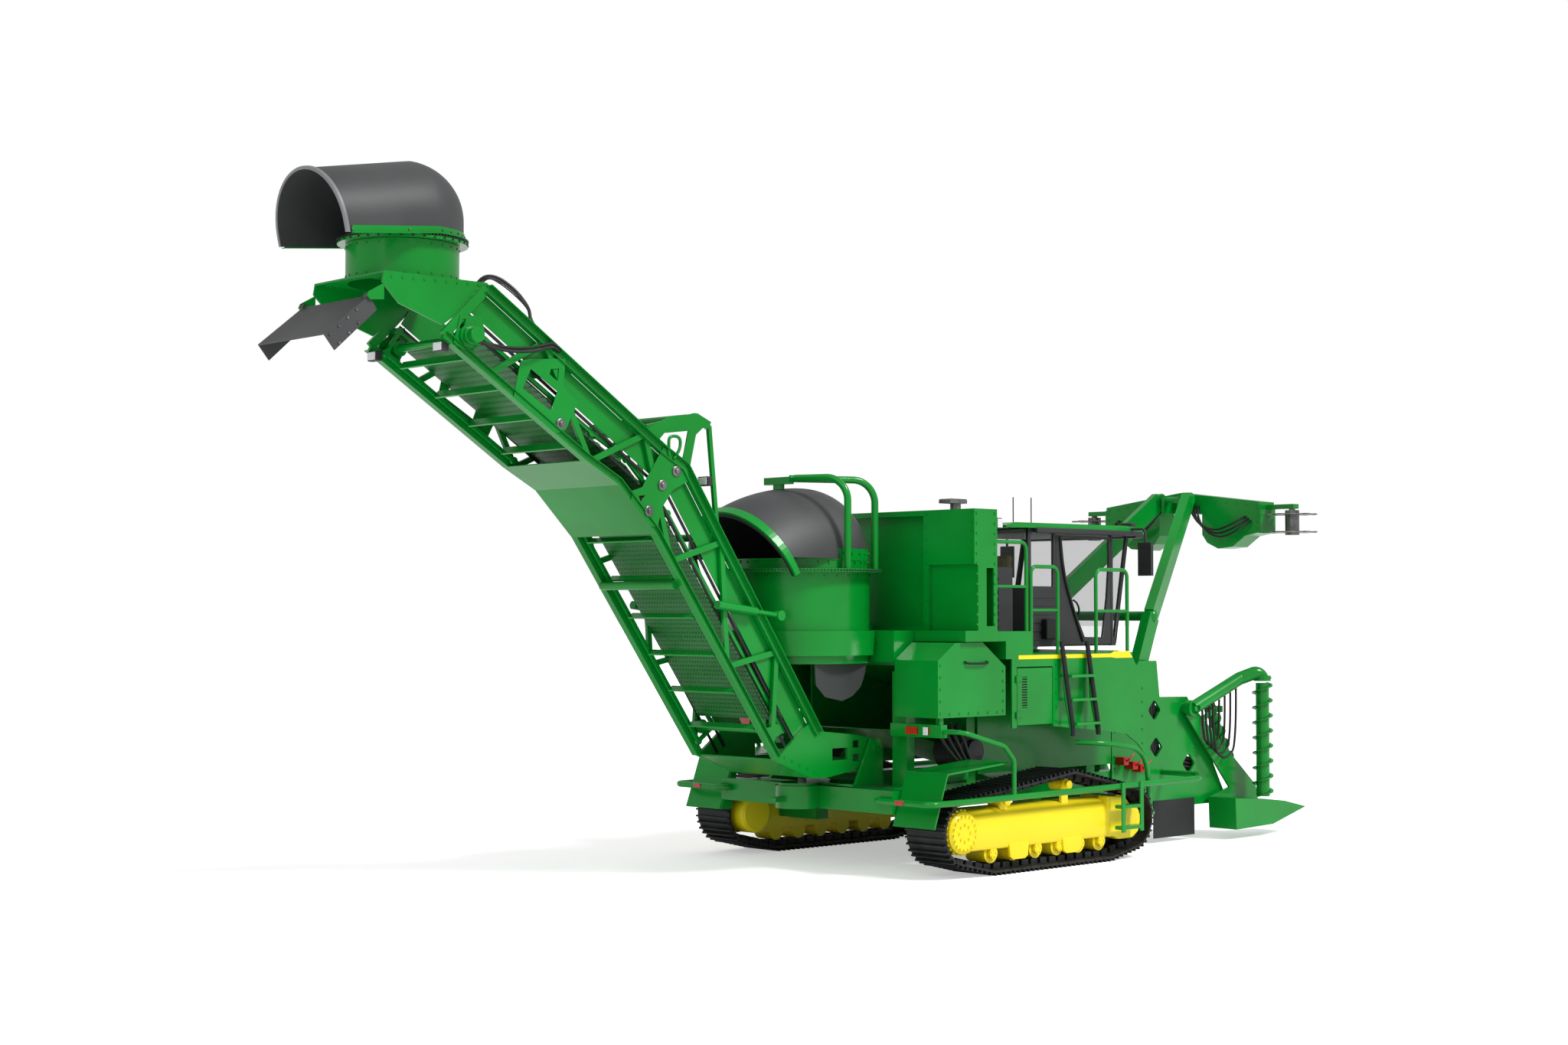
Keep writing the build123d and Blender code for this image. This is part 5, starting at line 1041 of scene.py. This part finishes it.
# %% Track shoes
TRACK_Y = 1.7
WHEELS = (                # x, z, reach of the bars
    (HUB_X, HUB_Z, 0.38), (1.85, 0.87, 0.22), (IDLER_X, IDLER_Z, 0.38), (0.48, 0.2, 0.2), (2.5, 0.2, 0.2),
)


def track_loop(count):
    """Evenly spaced points on the loop round the wheels, each with the way it faces."""
    turns = [pi * i / 90 for i in range(180)]
    dots = sorted((x + r * cos(turn), z + r * sin(turn)) for x, z, r in WHEELS for turn in turns)
    halves = []
    for line in (dots, dots[::-1]):
        edge = []
        for dot in line:
            while len(edge) > 1:
                (x, z), (u, w) = edge[-2:]
                if (u - x) * (dot[1] - z) > (w - z) * (dot[0] - x):
                    break
                edge.pop()
            edge.append(dot)
        halves += edge[:-1]
    walk = [Vector((x, 0, z)) for x, z in halves]
    steps = [(b - a).length for a, b in zip(walk, walk[1:] + walk[:1])]
    spots, at, behind = [], 0, 0.0
    for i in range(count):
        goal = sum(steps) * i / count
        while behind + steps[at] < goal:
            behind += steps[at]
            at += 1
        along = (walk[(at + 1) % len(walk)] - walk[at]).normalized()
        spots.append((walk[at] + along * (goal - behind), Vector((along.z, 0, -along.x))))
    return spots


shoe_tree, entry = new_tree("track_shoes", {})
parts = []
for size, shift in (((0.15, 0.56, 0.024), (0, 0, -0.044)), ((0.02, 0.56, 0.034), (-0.05, 0, -0.017)),
        ((0.02, 0.56, 0.034), (0.03, 0, -0.017)), ((0.11, 0.06, 0.06), (0.01, -0.1, -0.085)),
        ((0.11, 0.06, 0.06), (0.01, 0.1, -0.085))):
    box = node(shoe_tree, "GeometryNodeMeshCube", {"Size": size})
    parts.append(node(shoe_tree, "GeometryNodeTransform", {"Geometry": box.outputs["Mesh"],
                 "Translation": shift}))
shoe = node(shoe_tree, "GeometryNodeJoinGeometry")
for part in parts:
    shoe_tree.links.new(part.outputs[0], shoe.inputs[0])
scatter(shoe_tree, entry, shoe.outputs[0], pivot_axis="Y")
for side, s in SIDES:
    spots = [(spot + Vector((0, s * TRACK_Y, 0)), way) for spot, way in track_loop(52)]
    mesh = from_tree(f"shoes_{side}", facing_points(f"shoes_{side}", spots), shoe_tree,
                     {"Finish": TRACK_STEEL})
    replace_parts(piece(f"shoes_{side}", mesh, TRACK_STEEL), f"track_{side}")
print("shoes laid")

# %% [markdown]
# Pumps and pipes fill the gap between the lockers and the tracks, and pipes run behind the windows of
# the front plates. Red reflectors close the ends of the side guards, a hoop guards the track's front, and
# dark strips edge the cab's roof.

# %% Machinery, pipes and guards
PUMP = [(0.2, -0.3), (0.22, -0.28), (0.22, 0.02), (0.19, 0.05), (0.19, 0.09), (0.13, 0.1), (0.13, 0.17),
        (0.05, 0.18)]
for side, s in SIDES:
    lathe(f"pump_{side}", (0.86, s * 1.2, 1.3), (0, s, 0), PUMP, BLACK, count=32)
    for i in range(4):
        rail(f"pump_pipe_{side}_{i}", [(0.3 + 0.1 * i, s * 1.3, 1.62),
             (0.32 + 0.1 * i, s * (1.34 + 0.02 * i), 1.45), (0.42 + 0.09 * i, s * 1.38, 1.3),
             (0.6 + 0.08 * i, s * 1.36, 1.17 - 0.02 * i), (0.86 + 0.06 * i, s * 1.3, 1.2 - 0.03 * i)], 0.022,
             HOSE)
for side, s in SIDES:
    guard = [spot.co for spot in nodes["side_guards"].data.vertices if spot.co.y * s > 0]
    rear = min(spot.x for spot in guard)
    ends = [spot for spot in guard if spot.x < rear + 0.004]
    end = sum(ends, Vector()) / len(ends)
    block(f"reflector_{side}", (rear - 0.012, end.y - 0.06, end.z - 0.026),
          (rear + 0.01, end.y + 0.06, end.z + 0.026), 0.005, RED_LENS)
for side, s in SIDES:
    for i in range(5):
        rail(f"plate_pipe_{side}_{i}", [(4.26 + 0.05 * i, s * 1.06, 1.96), (4.34 + 0.055 * i, s * 1.04, 1.66),
             (4.38 + 0.05 * i, s * 1.04, 1.2), (4.5 + 0.06 * i, s * 1.06, 0.9)], 0.026, HOSE)
    for i in range(4):
        rail(f"low_pipe_{side}_{i}", [(4.95, s * 1.07, 0.88 + 0.055 * i), (5.05, s * 1.04, 0.87 + 0.055 * i),
             (5.2, s * 1.04, 0.85 + 0.055 * i), (5.32, s * 1.07, 0.82 + 0.055 * i)], 0.028, HOSE)
    rail(f"front_hoop_{side}", [(2.2, s * 1.7, 1.36), (2.34, s * 1.9, 1.36), (2.7, s * 1.95, 1.32),
         (3.02, s * 1.95, 1.27), (3.2, s * 1.95, 1.12), (3.24, s * 1.95, 0.8), (3.26, s * 1.95, 0.55),
         (3.4, s * 1.9, 0.48), (3.62, s * 1.6, 0.48), (3.75, s * 1.12, 0.5)], 0.03, GREEN)
    block(f"roof_fascia_{side}", (2.46, s * 0.905 - 0.03, 3.795), (4.5, s * 0.905 + 0.03, 3.858), 0.014,
          TRIM_PLASTIC)
block("roof_brow", (4.36, -0.93, 3.77), (4.52, 0.93, 3.85), 0.02, TRIM_PLASTIC)
print("machinery set")

# %% [markdown]
# Black hydraulic hoses hang in loops under the divider arms and along the topper, and others feed the
# motors on the elevator's head.

# %% Hoses
HOSES = []                # name, body, diameter, points


def arm_under(x, aside, s):
    """A point on the underside of the divider's arm, a little aside of its middle."""
    along = (x - 5.07) / 0.88
    return (x, s * (1.26 + 0.08 * along + aside), 1.655 + 0.35 * along - sqrt(0.085 ** 2 - aside ** 2))


for side, s in SIDES:
    for i in range(4):
        aside = 0.03 * (i - 1.5)
        first, last = arm_under(5.3 + 0.03 * i, aside, s), arm_under(5.62 + 0.07 * i, aside, s)
        y, half, low = first[1] + s * 0.02, (last[0] - first[0]) / 2, 1.34 - 0.03 * i
        middle = first[0] + half
        HOSES.append((f"divider_hose_{side}_{i}", f"divider_{side}", 0.03,
                     [first, (first[0], first[1], (first[2] + low) / 2), (middle - half, y, low),
                     (middle - half * 0.8, y, low - half * 0.8), (middle, y, low - half * 1.15),
                     (middle + half * 0.8, y, low - half * 0.8), (middle + half, y, low),
                     (last[0], last[1], (last[2] + low) / 2), last]))
for side, s in SIDES[::-1]:
    for i in range(3):
        HOSES.append((f"topper_hose_{side}_{i}", "topper_head", 0.03,
                     [(6.56, s * (0.2 + 0.05 * i), 4.26), (6.44, s * (0.24 + 0.05 * i), 4.2 - 0.03 * i),
                     (6.42, s * (0.42 + 0.05 * i), 3.99 - 0.05 * i), (6.42, s * (0.66 + 0.05 * i),
                     3.92 - 0.05 * i), (6.44, s * (0.9 + 0.05 * i), 4.0 - 0.04 * i),
                     (6.5, s * (1.02 + 0.04 * i), 4.08 - 0.03 * i), (6.56, s * (1.04 + 0.04 * i),
                     4.1 - 0.03 * i)]))
for i in range(2):
    d = 0.035 * i
    HOSES.append((f"motor_hose_{i}", "boom", 0.032, [(-5.49, -0.735 - d, 5.415), (-5.36, -0.745 - d, 5.4 - d),
                 (-5.16, -0.75 - d, 5.38 - d), (-4.9, -0.74 - d, 5.4 - d), (-4.7, -0.72 - d, 5.45 - d),
                 (-4.56, -0.69, 5.49 - d), (-4.46, -0.655, 5.44 - d)]))
for i in range(3):
    d = 0.045 * i
    HOSES.append((f"head_hose_{i}", "boom", (0.034, 0.02, 0.014)[i],
                 [(-5.27, -0.36 - d, 5.99), (-5.22, -0.38 - d, 6.1), (-5.08, -0.44 - d, 6.12 - d),
                 (-4.92, -0.52 - d * 0.6, 6.0 - d), (-4.82, -0.58 - d * 0.3, 5.86 - d * 0.6),
                 (-4.78, -0.6, 5.76 - d * 0.4), (-4.8 + d, -0.62, 5.67 - d * 0.65)]))
lengths = [hose(name, points, diameter, body) for name, body, diameter, points in HOSES]
print("hoses:", len(lengths), "metres:", round(sum(lengths), 2))

# %% [markdown]
# The seat has a stuffed cushion and back in woven cloth. Each starts as a rounded box and is blown up
# a little by a cloth run with pressure, so its faces crown and its sides pull in.


# %% Seat
CROWN = 0.012                            # how far the stuffing may push a face out


def cushion(name, low, high):
    """A stuffed pad that fills the box between two corners."""
    pad = placed(name + "_source", as_mesh(rounded_box(low, high, 0.03, 2, 0.02), name))
    remesh = pad.modifiers.new("remesh", "REMESH")
    remesh.mode = "VOXEL"
    remesh.voxel_size = 0.018
    rest = baked(pad)
    pad = placed(name + "_rest", rest)
    cloth = pad.modifiers.new("cloth", "CLOTH")
    cloth.settings.use_pressure = True
    cloth.settings.uniform_pressure_force = 4
    cloth.settings.effector_weights.gravity = 0
    for step in range(1, 16):
        scene.frame_set(step)
    blown = baked(pad)
    for before, after in zip(rest.vertices, blown.vertices):
        move = after.co - before.co
        if move.length > CROWN:
            after.co = before.co + move.normalized() * CROWN
    scene.frame_set(1)
    made = piece(name, soften(blown), CLOTH)
    return made


base = cushion("seat_cushion", (2.8, -0.26, 2.85), (3.25, 0.26, 2.96))
cushion("seat_back", (2.72, -0.26, 2.965), (2.84, 0.26, 3.56))
block("seat_stem", (2.9, -0.15, 2.44), (3.15, 0.15, 2.848), 0.02, TRIM_PLASTIC, slot="seat_cloth")
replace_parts(base, "seat")
print("seat made")

# %% [markdown]
# A plain pale floor and soft studio light. The floor is white paper lit by the same lamps, so it
# keeps the shadow. Only rays from the camera and through glass see the white behind it.

# %% Floor, sky and lamps
paper = bpy.data.materials.new("white_paper_floor")
paper.use_nodes = True
tree = paper.node_tree
tree.nodes.clear()
grain = node(tree, "ShaderNodeTexNoise", {"Scale": 2.0})
diffuse = node(tree, "ShaderNodeBsdfDiffuse", {"Color": tones(tree, grain.outputs[0], (0.2, "#f4f4f4"),
               (0.8, "#f7f7f7"))})
path = node(tree, "ShaderNodeLightPath")
seen = sums(tree, "MULTIPLY", path.outputs["Is Camera Ray"], 0.42)
glow = node(tree, "ShaderNodeEmission", {"Strength": seen})
both = node(tree, "ShaderNodeAddShader", {0: diffuse.outputs[0], 1: glow.outputs[0]})
node(tree, "ShaderNodeOutputMaterial", {"Surface": both.outputs[0]})

bpy.ops.mesh.primitive_plane_add(size=600, location=(0, 0, 0))
floor = bpy.context.object
floor.name = "floor"
floor.data.materials.append(paper)
floor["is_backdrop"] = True

world = bpy.data.worlds.new("studio")
world.use_nodes = True
scene.world = world
tree = world.node_tree
tree.nodes.clear()
path = node(tree, "ShaderNodeLightPath")
direct = sums(tree, "MAXIMUM", path.outputs["Is Camera Ray"], path.outputs["Is Transmission Ray"])
soft = node(tree, "ShaderNodeBackground", {"Color": (1, 1, 1, 1), "Strength": 0.54})
white = node(tree, "ShaderNodeBackground", {"Color": (1, 1, 1, 1), "Strength": 1.0})
sky = node(tree, "ShaderNodeMixShader", {0: direct, 1: soft.outputs[0], 2: white.outputs[0]})
node(tree, "ShaderNodeOutputWorld", {"Surface": sky.outputs[0]})

SUNS = (                  # name, strength, soft angle, from direction
    ("key_lamp", 2.3, 14, (0.25, -0.72, 0.75)),
    ("fill_lamp", 0.5, 40, (-0.8, -0.3, 0.5)),
)
for name, strength, angle, toward in SUNS:
    lamp = bpy.data.lights.new(name, "SUN")
    lamp.energy = strength
    lamp.angle = radians(angle)
    placed(name, lamp).rotation_euler = Vector(toward).to_track_quat("Z", "Y").to_euler()

# %% [markdown]
# The box of the solids and the box of all that shows are gathered.

# %% Size of the solids and of all that shows
box = {"cad": cad_box, "visual": [list(corner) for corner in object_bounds()]}
